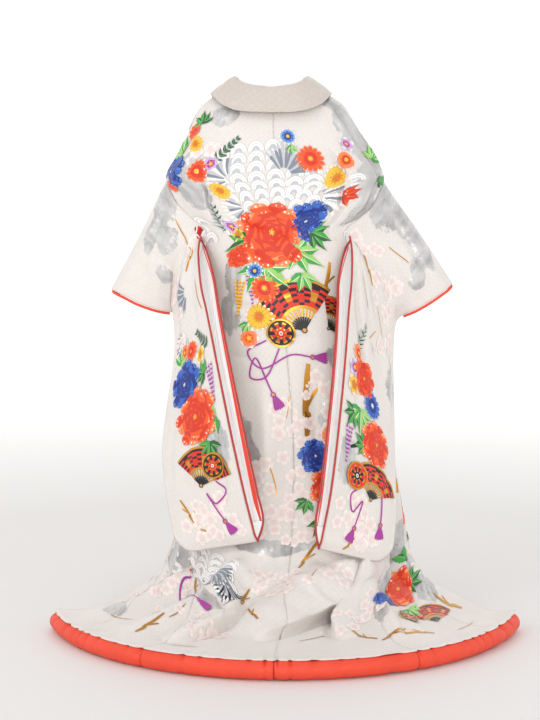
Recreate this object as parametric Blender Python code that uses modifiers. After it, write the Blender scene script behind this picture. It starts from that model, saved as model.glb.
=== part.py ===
"""Uchikake, the Japanese wedding over-robe, worn open over the shoulders of a standing wearer.

The wearer faces +Y and the decorated back and the spread train face -Y. Metres, +Z up. The origin
lies between the shoulders at the base of the neck, where the wearer carries the robe; the floor is
WEARER_HEIGHT below it. Heights in the tables are above the floor, and `reach` columns are distances
sideways from the middle. The cloth is followed in two directions: across the robe, from the centre
back seam (0) to the free front edge (1), and along it, from the neck down to the hem.
"""
import math
from collections import namedtuple

import bmesh
import bpy
import numpy as np
from mathutils import Vector

NAME = "uchikake"
LEFT, RIGHT = -1, 1
SIDE_NAMES = {LEFT: "left", RIGHT: "right"}

# Driving sizes.
WEARER_HEIGHT = 1.30
WALL = 0.0020
LINING_WALL = 0.0010
COLLAR_WALL = 0.0024
HALF_SEAM = 0.0005
ARMHOLE_GAP = 0.0019
LAY_GAP = 0.0004

# The cut: widths of one half of the robe, across the hem.
BACK_WIDTH = 0.310
FRONT_WIDTH = 0.270
OVERLAP_WIDTH = 0.165
HALF_WIDTH = BACK_WIDTH + FRONT_WIDTH + OVERLAP_WIDTH
SIDE_SEAM = BACK_WIDTH / HALF_WIDTH
OVERLAP_SEAM = (BACK_WIDTH + FRONT_WIDTH) / HALF_WIDTH

# Heights where the robe changes.
NECK = 1.305
SHOULDER_POINT = 1.080
UNDERARM = 0.955
SIDE_SLIT_END = 0.83
OVERLAP_TOP = 0.98
COLLAR_END = 0.54
TRAIN_TOP = 0.45

# The hem lies on the floor in one arc; its padded roll follows it.
HEM_CENTRE = Vector((0.0365, -0.130, 0.0))
HEM_RADIUS = 0.566
HEM_SEAM_ANGLE = math.radians(267.2)
HEM_TIP_ANGLE = {LEFT: math.radians(193.8), RIGHT: math.radians(345.2)}
ROLL_RADIUS = 0.0215
ROLL_AXIS = 0.0225
ROLL_LAP = math.radians(118)

Ring = namedtuple("Ring", "height half_width back front square shift dip")
RINGS = (
    Ring(0.450, 0.222, 0.172, 0.195, 2.3, 0.060, 0.000),
    Ring(0.600, 0.203, 0.168, 0.180, 2.3, 0.046, 0.000),
    Ring(0.780, 0.190, 0.162, 0.165, 2.4, 0.030, 0.000),
    Ring(0.900, 0.200, 0.155, 0.155, 2.4, 0.018, 0.000),
    Ring(0.960, 0.222, 0.150, 0.145, 2.5, 0.014, 0.000),
    Ring(1.010, 0.254, 0.145, 0.138, 2.5, 0.014, 0.000),
    Ring(1.080, 0.270, 0.138, 0.125, 2.4, 0.011, 0.000),
    Ring(1.160, 0.232, 0.130, 0.115, 2.4, 0.012, 0.002),
    Ring(1.210, 0.208, 0.124, 0.105, 2.4, 0.008, 0.008),
    Ring(1.260, 0.180, 0.114, 0.090, 2.3, 0.008, 0.020),
    Ring(1.285, 0.148, 0.102, 0.072, 2.2, 0.006, 0.028),
    Ring(1.305, 0.098, 0.088, 0.050, 2.0, 0.003, 0.034),
)

# Where the pieces end round a ring: the side or armhole edges in degrees from the centre back,
# the overlap's seam and the free front edge as a reach from the middle.
Edges = namedtuple("Edges", "height back_edge front_edge overlap_reach opening_reach")
EDGES = (
    Edges(0.450, 88.0, 88.0, 0.190, 0.110),
    Edges(0.600, 86.0, 86.0, 0.180, 0.112),
    Edges(0.780, 82.0, 82.0, 0.165, 0.108),
    Edges(0.830, 80.0, 80.0, 0.158, 0.108),
    Edges(0.900, 62.0, 74.0, 0.146, 0.110),
    Edges(0.955, 48.0, 76.0, 0.130, 0.112),
    Edges(0.980, 57.0, 96.0, 0.124, 0.112),
    Edges(1.010, 66.0, 106.0, 0.116, 0.114),
    Edges(1.050, 76.0, 103.0, 0.116, 0.114),
    Edges(1.080, 90.0, 90.0, 0.116, 0.114),
    Edges(1.210, 90.0, 90.0, 0.110, 0.108),
    Edges(1.305, 90.0, 90.0, 0.090, 0.088),
)

# Hanging folds of the fronts, by their place across the robe; depth is at TRAIN_TOP.
FrontFold = namedtuple("FrontFold", "across half_span depth start_height")
FRONT_FOLDS = (
    FrontFold(0.455, 0.045, 0.016, 0.80),
    FrontFold(0.540, 0.045, -0.022, 1.00),
    FrontFold(0.625, 0.048, 0.020, 1.06),
    FrontFold(0.715, 0.045, -0.018, 1.05),
    FrontFold(0.795, 0.042, 0.018, 0.94),
    FrontFold(0.875, 0.042, -0.018, 0.66),
)

# How each strand of the train leaves the standing part and reaches the hem.
TrainRow = namedtuple("TrainRow", "across flare drop_height reach_in low_height")
TRAIN = {
    LEFT: (
        TrainRow(0.00, 0.000, 0.080, 0.30, 0.018),
        TrainRow(0.42, 0.040, 0.090, 0.30, 0.018),
        TrainRow(0.75, 0.140, 0.130, 0.24, 0.016),
        TrainRow(1.00, 0.190, 0.130, 0.20, 0.014),
    ),
    RIGHT: (
        TrainRow(0.00, 0.000, 0.080, 0.30, 0.018),
        TrainRow(0.42, 0.070, 0.100, 0.30, 0.018),
        TrainRow(0.75, 0.160, 0.150, 0.24, 0.016),
        TrainRow(1.00, 0.200, 0.150, 0.20, 0.014),
    ),
}

# Ridges of the spread train in plan: two ends, half width and height of the fold. Each falls off
# more steeply towards the hem, where it is STEEP_SIDE as wide.
Ridge = namedtuple("Ridge", "start_x start_y end_x end_y half_width height")
RIDGES = (
    Ridge(0.215, -0.230, -0.040, -0.430, 0.062, 0.066),
    Ridge(-0.085, -0.270, -0.340, -0.480, 0.056, 0.056),
    Ridge(0.240, -0.290, 0.330, -0.480, 0.050, 0.034),
    Ridge(-0.240, -0.200, -0.400, -0.290, 0.045, 0.028),
    Ridge(0.330, -0.110, 0.500, -0.230, 0.050, 0.022),
)
STEEP_SIDE = 0.60

# The sleeves: both edges of the sheet midway between front and back, from the top fold down.
SleeveRow = namedtuple("SleeveRow", "along inner_reach inner_y inner_z outer_reach outer_y outer_z"
                                    " half_depth")
SLEEVES = {
    LEFT: (
        SleeveRow(0.00, 0.252, 0.000, 1.080, 0.402, 0.000, 0.803, 0.000),
        SleeveRow(0.03, 0.247, -0.005, 1.058, 0.380, 0.000, 0.795, 0.034),
        SleeveRow(0.10, 0.225, -0.025, 1.005, 0.322, -0.005, 0.772, 0.050),
        SleeveRow(0.20, 0.180, -0.095, 0.940, 0.236, -0.020, 0.742, 0.030),
        SleeveRow(0.32, 0.158, -0.150, 0.820, 0.240, -0.045, 0.635, 0.014),
        SleeveRow(0.48, 0.127, -0.190, 0.655, 0.256, -0.070, 0.520, 0.012),
        SleeveRow(0.64, 0.095, -0.215, 0.490, 0.268, -0.090, 0.400, 0.012),
        SleeveRow(0.80, 0.062, -0.235, 0.335, 0.255, -0.125, 0.285, 0.012),
        SleeveRow(0.93, 0.036, -0.252, 0.225, 0.234, -0.165, 0.185, 0.010),
        SleeveRow(0.97, 0.032, -0.256, 0.207, 0.230, -0.178, 0.160, 0.000),
    ),
    RIGHT: (
        SleeveRow(0.00, 0.288, 0.000, 1.080, 0.462, 0.000, 0.818, 0.000),
        SleeveRow(0.03, 0.283, -0.005, 1.058, 0.445, 0.000, 0.806, 0.034),
        SleeveRow(0.10, 0.255, -0.025, 1.005, 0.392, -0.005, 0.775, 0.050),
        SleeveRow(0.20, 0.203, -0.095, 0.940, 0.318, -0.020, 0.728, 0.030),
        SleeveRow(0.32, 0.188, -0.155, 0.820, 0.308, -0.050, 0.620, 0.014),
        SleeveRow(0.48, 0.176, -0.205, 0.655, 0.308, -0.090, 0.500, 0.012),
        SleeveRow(0.64, 0.160, -0.245, 0.490, 0.309, -0.120, 0.385, 0.012),
        SleeveRow(0.80, 0.142, -0.272, 0.335, 0.310, -0.170, 0.275, 0.012),
        SleeveRow(0.93, 0.122, -0.292, 0.218, 0.296, -0.232, 0.172, 0.010),
        SleeveRow(0.97, 0.119, -0.297, 0.198, 0.290, -0.247, 0.148, 0.000),
    ),
}
SLEEVE_ATTACHED = 0.20
CUFF_DEPTH = 0.19
SLEEVE_LENGTH = 0.97
SLEEVE_CORNER = 0.055
SEWN_EDGE = 0.0023
FRONT_PANEL_SHOWS = {LEFT: 0.10, RIGHT: 0.07}
FURI_PIPING = 0.0025
CUFF_PIPING = 0.0034
PIPING_GAP = 0.0011
FURI_TOP = 0.24
LINING_TOP, LINING_BOTTOM = 0.24, 0.93
ROLL_STEPS = 14

# The collar, folded in half. Round the neck its fold and the free edge of its turned-down flap are
# set row by row: `place` runs 0 to NECK_SIDE along the back neckline, reaches 1 at the corner of the
# front opening and grows by 1 for each NECK_DROP down it.
CollarRow = namedtuple("CollarRow", "place fold_reach fold_y fold_z flap_reach flap_y flap_z")
NECK_COLLAR = (
    CollarRow(0.00, 0.000, -0.100, 1.302, 0.000, -0.144, 1.238),
    CollarRow(0.30, 0.046, -0.093, 1.308, 0.066, -0.138, 1.241),
    CollarRow(0.60, 0.077, -0.064, 1.320, 0.118, -0.100, 1.258),
    CollarRow(0.90, 0.086, -0.014, 1.334, 0.152, -0.018, 1.292),
    CollarRow(1.00, 0.085, 0.016, 1.332, 0.151, 0.022, 1.291),
    CollarRow(1.15, 0.084, 0.046, 1.322, 0.149, 0.054, 1.285),
    CollarRow(1.50, 0.080, 0.078, 1.286, 0.144, 0.088, 1.252),
    CollarRow(1.70, 0.077, 0.090, 1.254, 0.141, 0.100, 1.236),
)
NECK_SIDE = 0.90
NECK_DROP = 0.10
# Down the front the flap lies on the cloth; the fold keeps this reach from the middle.
FrontCollar = namedtuple("FrontCollar", "height fold_reach")
FRONT_COLLAR = (
    FrontCollar(0.51, 0.062),
    FrontCollar(0.80, 0.060),
    FrontCollar(1.00, 0.064),
    FrontCollar(1.10, 0.067),
    FrontCollar(1.21, 0.074),
)
BACK_NECK_PARTS = tuple(i / 7 for i in range(8))
FRONT_NECK_HEIGHTS = (1.305, 1.290, 1.268, 1.235)
FRONT_COLLAR_HEIGHTS = (1.19, 1.14, 1.08, 1.01, 0.955, 0.90, 0.83, 0.77, 0.70, 0.62, COLLAR_END)
COLLAR_WIDTH = 0.062
COLLAR_FOLD = 0.0080
FOLD_ROUNDING = 0.0060
COLLAR_LINING_SHOWS = 0.007
FLAP_GAP = 0.0018
LINING_GAP = 0.0018

IVORY = ("ivory_brocade", (0.81, 0.75, 0.70, 1.0), 0.42)
COLLAR_SATIN = ("ivory_collar_satin", (0.79, 0.72, 0.65, 1.0), 0.40)
WHITE_LINING = ("white_lining", (0.91, 0.89, 0.89, 1.0), 0.55)
VERMILION = ("vermilion_silk", (0.89, 0.065, 0.028, 1.0), 0.50)
DARK_RED = ("red_piping", (0.45, 0.030, 0.028, 1.0), 0.50)


def smooth(xs, ys, at):
    """Read the soft curve through the points (xs rising) that never overshoots them."""
    xs = np.asarray(xs, float)
    ys = np.asarray(ys, float)
    steps = np.diff(xs)
    secants = np.diff(ys) / steps
    slopes = np.zeros(len(xs))
    slopes[0] = secants[0]
    slopes[-1] = secants[-1]
    for i in range(1, len(xs) - 1):
        if secants[i - 1] * secants[i] > 0:
            slopes[i] = 2 / (1 / secants[i - 1] + 1 / secants[i])
    at = min(max(at, xs[0]), xs[-1])
    i = min(max(int(np.searchsorted(xs, at)) - 1, 0), len(xs) - 2)
    t = (at - xs[i]) / steps[i]
    start = (1 + 2 * t) * (1 - t) ** 2 * ys[i] + t * (1 - t) ** 2 * steps[i] * slopes[i]
    end = t * t * (3 - 2 * t) * ys[i + 1] + t * t * (t - 1) * steps[i] * slopes[i + 1]
    return start + end


def column(rows, name, at):
    """One column of a table, read at a value of its first column."""
    return smooth([row[0] for row in rows], [getattr(row, name) for row in rows], at)


def ease(value, low, high):
    """0 below low, 1 above high, soft in between."""
    t = min(max((value - low) / (high - low), 0.0), 1.0)
    return t * t * (3 - 2 * t)


# ---------------------------------------------------------------- the standing part of the body

RING_SAMPLES = 96
_rings = {}


def ring(height):
    """A ring's curve on one side, centre back to centre front, with its running length."""
    key = round(height, 6)
    if key not in _rings:
        half_width, back, front, square = (column(RINGS, name, height)
                                           for name in ("half_width", "back", "front", "square"))
        angles = np.linspace(0, math.pi, RING_SAMPLES + 1)
        across = half_width * np.abs(np.sin(angles)) ** (2 / square)
        depth = np.abs(np.cos(angles)) ** (2 / square)
        y = np.where(angles < math.pi / 2, -back * depth, front * depth)
        run = np.concatenate(([0.0], np.cumsum(np.hypot(np.diff(across), np.diff(y)))))
        _rings[key] = (angles, across, y, run, half_width, square)
    return _rings[key]


def reach_angle(height, reach):
    """The angle of the ring's front point that lies `reach` from the middle."""
    half_width, square = ring(height)[4:]
    part = min(reach / half_width, 0.999)
    return math.pi - math.asin(part ** (square / 2))


def piece_edges(piece, height):
    """The ring angles between which a piece of the body runs at a height."""
    overlap = reach_angle(height, column(EDGES, "overlap_reach", height))
    if piece == "back":
        return 0.0, math.radians(column(EDGES, "back_edge", height))
    if piece == "front":
        return math.radians(column(EDGES, "front_edge", height)), overlap
    return overlap, reach_angle(height, column(EDGES, "opening_reach", height))


PIECE_SPAN = {"back": (0.0, SIDE_SEAM), "front": (SIDE_SEAM, OVERLAP_SEAM), "overlap": (OVERLAP_SEAM, 1.0)}


def fold_depth(across, height):
    """How far the front's hanging folds stand out of the ring."""
    total = 0.0
    flat_by_collar = 1 - ease(across, 0.80, 0.93) * ease(height, COLLAR_END - 0.10, COLLAR_END + 0.03)
    for fold in FRONT_FOLDS:
        near = (across - fold.across) / fold.half_span
        if abs(near) < 1:
            grown = 1 - ease(height, TRAIN_TOP, fold.start_height)
            total += fold.depth * math.cos(near * math.pi / 2) ** 2 * grown
    return total * flat_by_collar


def standing_point(side, piece, part, height, inset=0.0):
    """A point of the standing cloth: `part` runs across one piece, 0 to 1, `inset` pulls in its edges."""
    angles, xs, ys, run, _, _ = ring(height)
    start, end = (np.interp(angle, angles, run) for angle in piece_edges(piece, height))
    at = start + inset + (end - start - 2 * inset) * part
    x, y = np.interp(at, run, xs), np.interp(at, run, ys)
    step = 0.004
    tangent = Vector((np.interp(at + step, run, xs) - np.interp(at - step, run, xs),
                      np.interp(at + step, run, ys) - np.interp(at - step, run, ys), 0)).normalized()
    outward = Vector((tangent.y, -tangent.x, 0))
    span_start, span_end = PIECE_SPAN[piece]
    across = span_start + (span_end - span_start) * part
    out = outward * fold_depth(across, height)
    dip = column(RINGS, "dip", height) * max(math.cos(np.interp(at, run, angles)), 0.0)
    shift = column(RINGS, "shift", height)
    return Vector((shift + side * (x + out.x), y + out.y, height - dip))


# ---------------------------------------------------------------- the train

def hem_angle(side, across):
    return HEM_SEAM_ANGLE + (HEM_TIP_ANGLE[side] - HEM_SEAM_ANGLE) * across


def hem_direction(side, across):
    angle = hem_angle(side, across)
    return Vector((math.cos(angle), math.sin(angle), 0))


def hem_point(side, across):
    """Where the cloth ends, lapped on the inner shoulder of the padded roll."""
    lap = ROLL_RADIUS + WALL + LAY_GAP
    radial = HEM_RADIUS + lap * math.cos(ROLL_LAP)
    level = ROLL_AXIS + lap * math.sin(ROLL_LAP)
    return HEM_CENTRE + hem_direction(side, across) * radial + Vector((0, 0, level))


def ridge_lift(x, y):
    """Height that the train's ridges add at a place on the floor."""
    lift = 0.0
    for ridge in RIDGES:
        start = Vector((ridge.start_x, ridge.start_y))
        run = Vector((ridge.end_x, ridge.end_y)) - start
        along = (Vector((x, y)) - start).dot(run) / run.length_squared
        held = min(max(along, 0.0), 1.0)
        away = Vector((x, y)) - start - run * held
        to_hem = (Vector((x, y)) - HEM_CENTRE.xy).normalized()
        steep = ease(away.dot(to_hem) / ridge.half_width, -0.3, 0.6)
        away = away.length / (ridge.half_width * (1 - (1 - STEEP_SIDE) * steep))
        lift = max(lift, ridge.height * math.exp(-away * away) * (1 - 0.6 * held))
    return lift


def train_point(side, piece, part, down, inset=0.0):
    """A point of the train: `down` runs 0 at TRAIN_TOP to 1 at the hem."""
    span_start, span_end = PIECE_SPAN[piece]
    across = span_start + (span_end - span_start) * part
    flare, drop, reach_in, low = (column(TRAIN[side], name, across)
                                  for name in ("flare", "drop_height", "reach_in", "low_height"))
    start = standing_point(side, piece, part, TRAIN_TOP, inset)
    axis = Vector((column(RINGS, "shift", TRAIN_TOP), 0, 0))
    outward = Vector((start.x - axis.x, start.y, 0)).normalized()
    drop_point = Vector((start.x, start.y, drop)) + outward * flare
    seam_shift = inset / HEM_RADIUS * (1 if side == RIGHT else -1)
    turned = seam_shift * (1 - 2 * part)
    end = hem_point(side, across)
    end = HEM_CENTRE + rotate(end - HEM_CENTRE, turned)
    low_point = end - hem_direction(side, across) * reach_in
    low_point.z = low
    keep = 1 - down
    point = (start * keep ** 3 + drop_point * (3 * keep * keep * down)
             + low_point * (3 * keep * down * down) + end * down ** 3)
    point.z += ridge_lift(point.x, point.y) * ease(down, 0.25, 0.55) * (1 - ease(down, 0.80, 0.97))
    return point


def rotate(vector, angle):
    return Vector((vector.x * math.cos(angle) - vector.y * math.sin(angle),
                   vector.x * math.sin(angle) + vector.y * math.cos(angle), vector.z))


# ---------------------------------------------------------------- the sleeves

def sleeve_sheet(side, in_to_out, along):
    """The sheet midway between a sleeve's two panels."""
    rows = SLEEVES[side]
    inner = Vector([column(rows, name, along) for name in ("inner_reach", "inner_y", "inner_z")])
    outer = Vector([column(rows, name, along) for name in ("outer_reach", "outer_y", "outer_z")])
    point = inner.lerp(outer, in_to_out)
    point.x *= side
    return point


def sleeve_normal(side, in_to_out, along):
    """Unit normal of the sheet on its back face, the one that shows from behind."""
    step = 0.02
    low, high = max(along - step, 0.004), min(along + step, SLEEVE_LENGTH)
    down = sleeve_sheet(side, in_to_out, high) - sleeve_sheet(side, in_to_out, low)
    out = sleeve_sheet(side, in_to_out + step, along) - sleeve_sheet(side, in_to_out - step, along)
    normal = out.cross(down).normalized()
    return normal if normal.y < 0 else -normal


def armhole_point(side, face, part):
    """A point beside the body's armhole edge, 0 at the shoulder point to 1 at the underarm."""
    piece, edge, inner = ("back", 1.0, 0.9) if face == "back" else ("front", 0.0, 0.1)
    place = part * (len(ARMHOLE_HEIGHTS) - 1)
    row = min(int(place), len(ARMHOLE_HEIGHTS) - 2)
    heights = ARMHOLE_HEIGHTS[row:row + 2]
    upper, lower = (standing_point(side, piece, edge, height, HALF_SEAM) for height in heights)
    upper_within, lower_within = (standing_point(side, piece, inner, height, HALF_SEAM)
                                  for height in heights)
    at_edge = upper.lerp(lower, place - row)
    beyond = at_edge - upper_within.lerp(lower_within, place - row)
    return at_edge + beyond.normalized() * ARMHOLE_GAP


def sleeve_point(side, face, in_to_out, along):
    """A point of a sleeve's back or front panel."""
    cut = SLEEVE_CORNER * (1 - math.sqrt(1 - ease(in_to_out, 0.72, 1.0) ** 2))
    along -= cut * ease(along, SLEEVE_LENGTH - 3 * SLEEVE_CORNER, SLEEVE_LENGTH)
    place = in_to_out
    if face == "front":
        shows = ease(along, SLEEVE_ATTACHED, SLEEVE_ATTACHED + 0.12) * (1 - ease(along, 0.88, 0.96))
        place -= FRONT_PANEL_SHOWS[side] * shows * (1 - in_to_out) ** 3
    half_depth = max(column(SLEEVES[side], "half_depth", along), SEWN_EDGE)
    sewn = ease(in_to_out, 0.80, 1.0) * ease(along, CUFF_DEPTH - 0.05, CUFF_DEPTH + 0.03)
    half_depth += (min(half_depth, SEWN_EDGE) - half_depth) * sewn
    facing = 1 if face == "back" else -1
    point = sleeve_sheet(side, place, along) + sleeve_normal(side, in_to_out, along) * (half_depth * facing)
    if along <= SLEEVE_ATTACHED + 0.10:
        part = min(along / SLEEVE_ATTACHED, 1.0)
        root = sleeve_sheet(side, 0.0, along) + sleeve_normal(side, 0.0, along) * (half_depth * facing)
        at_fold = sleeve_normal(side, 0.0, along) * (facing * SEWN_EDGE * (1 - ease(part, 0.0, 0.25)))
        pull = armhole_point(side, face, part) + at_fold - root
        fade = (1 - ease(in_to_out, 0.0, 0.55)) * (1 - ease(along, SLEEVE_ATTACHED, SLEEVE_ATTACHED + 0.10))
        point += pull * fade
    return point


# ---------------------------------------------------------------- the collar

def ring_front(side, height, reach, lift):
    """A point over the front of the ring, `lift` outside it."""
    angles, xs, ys, run, _, _ = ring(height)
    at = np.interp(reach_angle(height, reach), angles, run)
    step = 0.004
    tangent = Vector((np.interp(at + step, run, xs) - np.interp(at - step, run, xs),
                      np.interp(at + step, run, ys) - np.interp(at - step, run, ys), 0)).normalized()
    x = np.interp(at, run, xs) + tangent.y * lift
    y = np.interp(at, run, ys) - tangent.x * lift
    return Vector((column(RINGS, "shift", height) + side * x, y, height))


def collar_stations(side):
    """Seam, fold, flap edge and the middles between them, from the nape down to the front end."""
    stations = []
    shift = column(RINGS, "shift", NECK)
    seams = [(NECK_SIDE * part, standing_point(side, "back", part, NECK)) for part in BACK_NECK_PARTS]
    seams += [(1 + (NECK - height) / NECK_DROP, standing_point(side, "front", 1.0, height, HALF_SEAM))
              for height in FRONT_NECK_HEIGHTS]
    for place, seam in seams:
        fold, flap = (Vector((shift + side * column(NECK_COLLAR, f"{line}_reach", place),
                              column(NECK_COLLAR, f"{line}_y", place),
                              column(NECK_COLLAR, f"{line}_z", place))) for line in ("fold", "flap"))
        seam += (fold - seam).normalized() * (3 * HALF_SEAM)
        rise = (fold - seam).normalized()
        drop = flap - fold
        outward = (drop - rise * drop.dot(rise)).normalized()
        if place > 1:
            height = NECK - (place - 1) * NECK_DROP
            reach = column(NECK_COLLAR, "fold_reach", place)
            facing = ring_front(side, height, reach, WALL) - ring_front(side, height, reach, 0.0)
            outward = outward.lerp(facing.normalized(), ease(place, 1.0, 1.7)).normalized()
        hang = fold.lerp(flap, 0.5) + outward * COLLAR_FOLD
        stations.append((seam, seam.lerp(fold, 0.5), fold, hang, flap, outward))
    flap_lift = COLLAR_WALL + FLAP_GAP
    for height in FRONT_COLLAR_HEIGHTS:
        fold_reach = column(FRONT_COLLAR, "fold_reach", height)
        seam_reach = column(EDGES, "opening_reach", height) - 2 * HALF_SEAM
        fold = ring_front(side, height, fold_reach, -WALL)
        outward = (ring_front(side, height, fold_reach, WALL) - fold).normalized()
        stations.append((
            ring_front(side, height, seam_reach, -WALL),
            ring_front(side, height, (seam_reach + fold_reach) / 2, -WALL),
            fold,
            ring_front(side, height, fold_reach + COLLAR_WIDTH / 2, flap_lift + FLAP_GAP),
            ring_front(side, height, fold_reach + COLLAR_WIDTH, flap_lift),
            outward,
        ))
    return stations


def collar_section(seam, stand, fold, hang, flap, outward):
    """The folded band in section: up the stand, round the fold and down the flap."""
    rise = (fold - stand).normalized()
    over = fold + outward * COLLAR_FOLD
    return [
        seam,
        stand,
        fold - rise * FOLD_ROUNDING,
        fold + outward * (0.2 * COLLAR_FOLD),
        fold + outward * (0.8 * COLLAR_FOLD),
        over + (hang - over).normalized() * FOLD_ROUNDING,
        hang,
        flap,
    ]


# ---------------------------------------------------------------- meshes and materials

def material(spec):
    name, colour, roughness = spec
    found = bpy.data.materials.get(name)
    if found:
        return found
    made = bpy.data.materials.new(name)
    made.use_nodes = True
    shader = made.node_tree.nodes["Principled BSDF"]
    shader.inputs["Base Color"].default_value = colour
    shader.inputs["Roughness"].default_value = roughness
    made.diffuse_color = colour
    return made


def place(obj, spec, collection):
    obj.location = (0, 0, -WEARER_HEIGHT)
    obj.data.materials.append(material(spec))
    collection.objects.link(obj)
    return obj


def sheet(name, rows, spec, collection, outward, wall=WALL):
    """A wall of cloth through rows of points, thickened inwards from its outer face."""
    mesh = bpy.data.meshes.new(name)
    shape = bmesh.new()
    grid = [[shape.verts.new(point) for point in row] for row in rows]
    for upper, lower in zip(grid, grid[1:]):
        for i in range(len(upper) - 1):
            shape.faces.new((upper[i], upper[i + 1], lower[i + 1], lower[i]))
    bmesh.ops.recalc_face_normals(shape, faces=shape.faces)
    probe, direction = outward
    nearest = min(shape.faces, key=lambda face: (face.calc_center_median() - probe).length)
    if nearest.normal.dot(direction) < 0:
        bmesh.ops.reverse_faces(shape, faces=shape.faces)
    shape.to_mesh(mesh)
    shape.free()
    mesh.shade_smooth()
    obj = bpy.data.objects.new(name, mesh)
    thick = obj.modifiers.new("cloth thickness", 'SOLIDIFY')
    thick.thickness = wall
    thick.offset = -1
    thick.use_even_offset = True
    thick.use_quality_normals = True
    return place(obj, spec, collection)


def tube(name, points, radii, spec, collection, resolution=2):
    """A round roll or piping along a run of points."""
    data = bpy.data.curves.new(name, 'CURVE')
    data.dimensions = '3D'
    data.bevel_depth = 1.0
    data.bevel_resolution = resolution
    data.use_fill_caps = True
    spline = data.splines.new('POLY')
    spline.points.add(len(points) - 1)
    for target, point, radius in zip(spline.points, points, radii):
        target.co = (*point, 1)
        target.radius = radius
    return place(bpy.data.objects.new(name, data), spec, collection)


# ---------------------------------------------------------------- the pieces

SHOULDER_HEIGHTS = (1.305, 1.290, 1.268, 1.235, 1.19, 1.14)
ARMHOLE_HEIGHTS = (SHOULDER_POINT, 1.05, 1.01, OVERLAP_TOP, UNDERARM)
BODY_HEIGHTS = (0.93, 0.90, 0.865, SIDE_SLIT_END, 0.77, 0.70, 0.62, COLLAR_END)
STANDING_HEIGHTS = {
    "back": SHOULDER_HEIGHTS + ARMHOLE_HEIGHTS + BODY_HEIGHTS,
    "front": SHOULDER_HEIGHTS + ARMHOLE_HEIGHTS + BODY_HEIGHTS,
    "overlap": (OVERLAP_TOP, UNDERARM) + BODY_HEIGHTS,
}
TRAIN_DOWNS = (0.0, 0.08, 0.16, 0.24, 0.31, 0.38, 0.45, 0.52, 0.59, 0.66, 0.73, 0.80, 0.87, 0.94, 1.0)
COLUMNS = {"back": 9, "front": 11, "overlap": 6}
WIDTHS = {"back": BACK_WIDTH, "front": FRONT_WIDTH, "overlap": OVERLAP_WIDTH}
EDGE_STRIP = 0.003


def parts_across(piece):
    """Columns of a piece, with a narrow strip at each seam that curves so that its edge faces true."""
    strip = EDGE_STRIP / WIDTHS[piece]
    parts = [i / COLUMNS[piece] for i in range(COLUMNS[piece] + 1)]
    if piece != "back":
        parts.insert(1, strip)
    if piece != "overlap":
        parts.insert(-1, 1 - strip)
    return parts


def body_piece(side, piece, collection):
    parts = parts_across(piece)
    rows = [[standing_point(side, piece, part, height, HALF_SEAM) for part in parts]
            for height in STANDING_HEIGHTS[piece]]
    rows += [[train_point(side, piece, part, down, HALF_SEAM) for part in parts] for down in TRAIN_DOWNS]
    middle = rows[len(STANDING_HEIGHTS[piece]) // 2][len(parts) // 2]
    axis = Vector((column(RINGS, "shift", middle.z), 0, middle.z))
    return sheet(f"{piece}_{SIDE_NAMES[side]}", rows, IVORY, collection, outward=(middle, middle - axis))


SLEEVE_ALONGS = (0.0, 0.012, 0.03, 0.05, 0.10, 0.15, 0.175, 0.20, 0.225, 0.26, 0.31, 0.38, 0.46, 0.55, 0.64,
                 0.73, 0.82, 0.89, 0.935, 0.958, SLEEVE_LENGTH)
SLEEVE_COLUMNS = (0.0, 0.10, 0.22, 0.36, 0.50, 0.64, 0.76, 0.86, 0.94, 1.0)


def sleeve_panel(side, face, collection):
    """One panel of a sleeve: the two lie edge to edge at the top fold, the bottom and below the cuff."""
    rows = [[sleeve_point(side, face, place, along) for place in SLEEVE_COLUMNS] for along in SLEEVE_ALONGS]
    probe = rows[len(rows) // 2][len(SLEEVE_COLUMNS) // 2]
    return sheet(f"sleeve_{face}_{SIDE_NAMES[side]}", rows, IVORY, collection,
                 outward=(probe, Vector((0, -1 if face == "back" else 1, 0))))


def sleeve_lining(side, collection):
    """The white lining that shows inside the sleeve, along its front panel's inner edge."""
    deep = WALL + LAY_GAP + LINING_WALL
    rows = []
    for along in SLEEVE_ALONGS:
        if LINING_TOP < along < LINING_BOTTOM:
            rows.append([sleeve_point(side, "front", place, along)
                         + sleeve_normal(side, place, along) * deep for place in SLEEVE_COLUMNS[:4]])
    probe = rows[len(rows) // 2][1]
    return sheet(f"sleeve_lining_{SIDE_NAMES[side]}", rows, WHITE_LINING, collection, wall=LINING_WALL,
                 outward=(probe, Vector((0, -1, 0))))


def piping_point(side, face, in_to_out, within, along, radius):
    """The axis of a piping just beyond an open edge of a sleeve."""
    edge = sleeve_point(side, face, in_to_out, along)
    beyond = (edge - sleeve_point(side, face, within, along)).normalized()
    facing = 1 if face == "back" else -1
    inward = sleeve_normal(side, in_to_out, along) * -facing
    return edge + beyond * (radius + PIPING_GAP) + inward * (WALL / 2)


def furi_piping(side, collection):
    """Red piping of the sleeve's long inner edge, down the front panel and up the back one."""
    alongs = [along for along in SLEEVE_ALONGS if along > FURI_TOP]
    path = [piping_point(side, "front", 0.0, 0.05, along, FURI_PIPING) for along in alongs]
    path += [piping_point(side, "back", 0.0, 0.05, along, FURI_PIPING) for along in reversed(alongs)]
    return tube(f"furi_piping_{SIDE_NAMES[side]}", path, [FURI_PIPING] * len(path), DARK_RED, collection)


def cuff_piping(side, collection):
    """Red piping round the cuff."""
    alongs = [along for along in SLEEVE_ALONGS if along <= CUFF_DEPTH]
    path = [piping_point(side, "back", 1.0, 0.94, along, CUFF_PIPING) for along in reversed(alongs)]
    path += [piping_point(side, "front", 1.0, 0.94, along, CUFF_PIPING) for along in alongs]
    return tube(f"cuff_piping_{SIDE_NAMES[side]}", path, [CUFF_PIPING] * len(path), VERMILION, collection)


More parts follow.
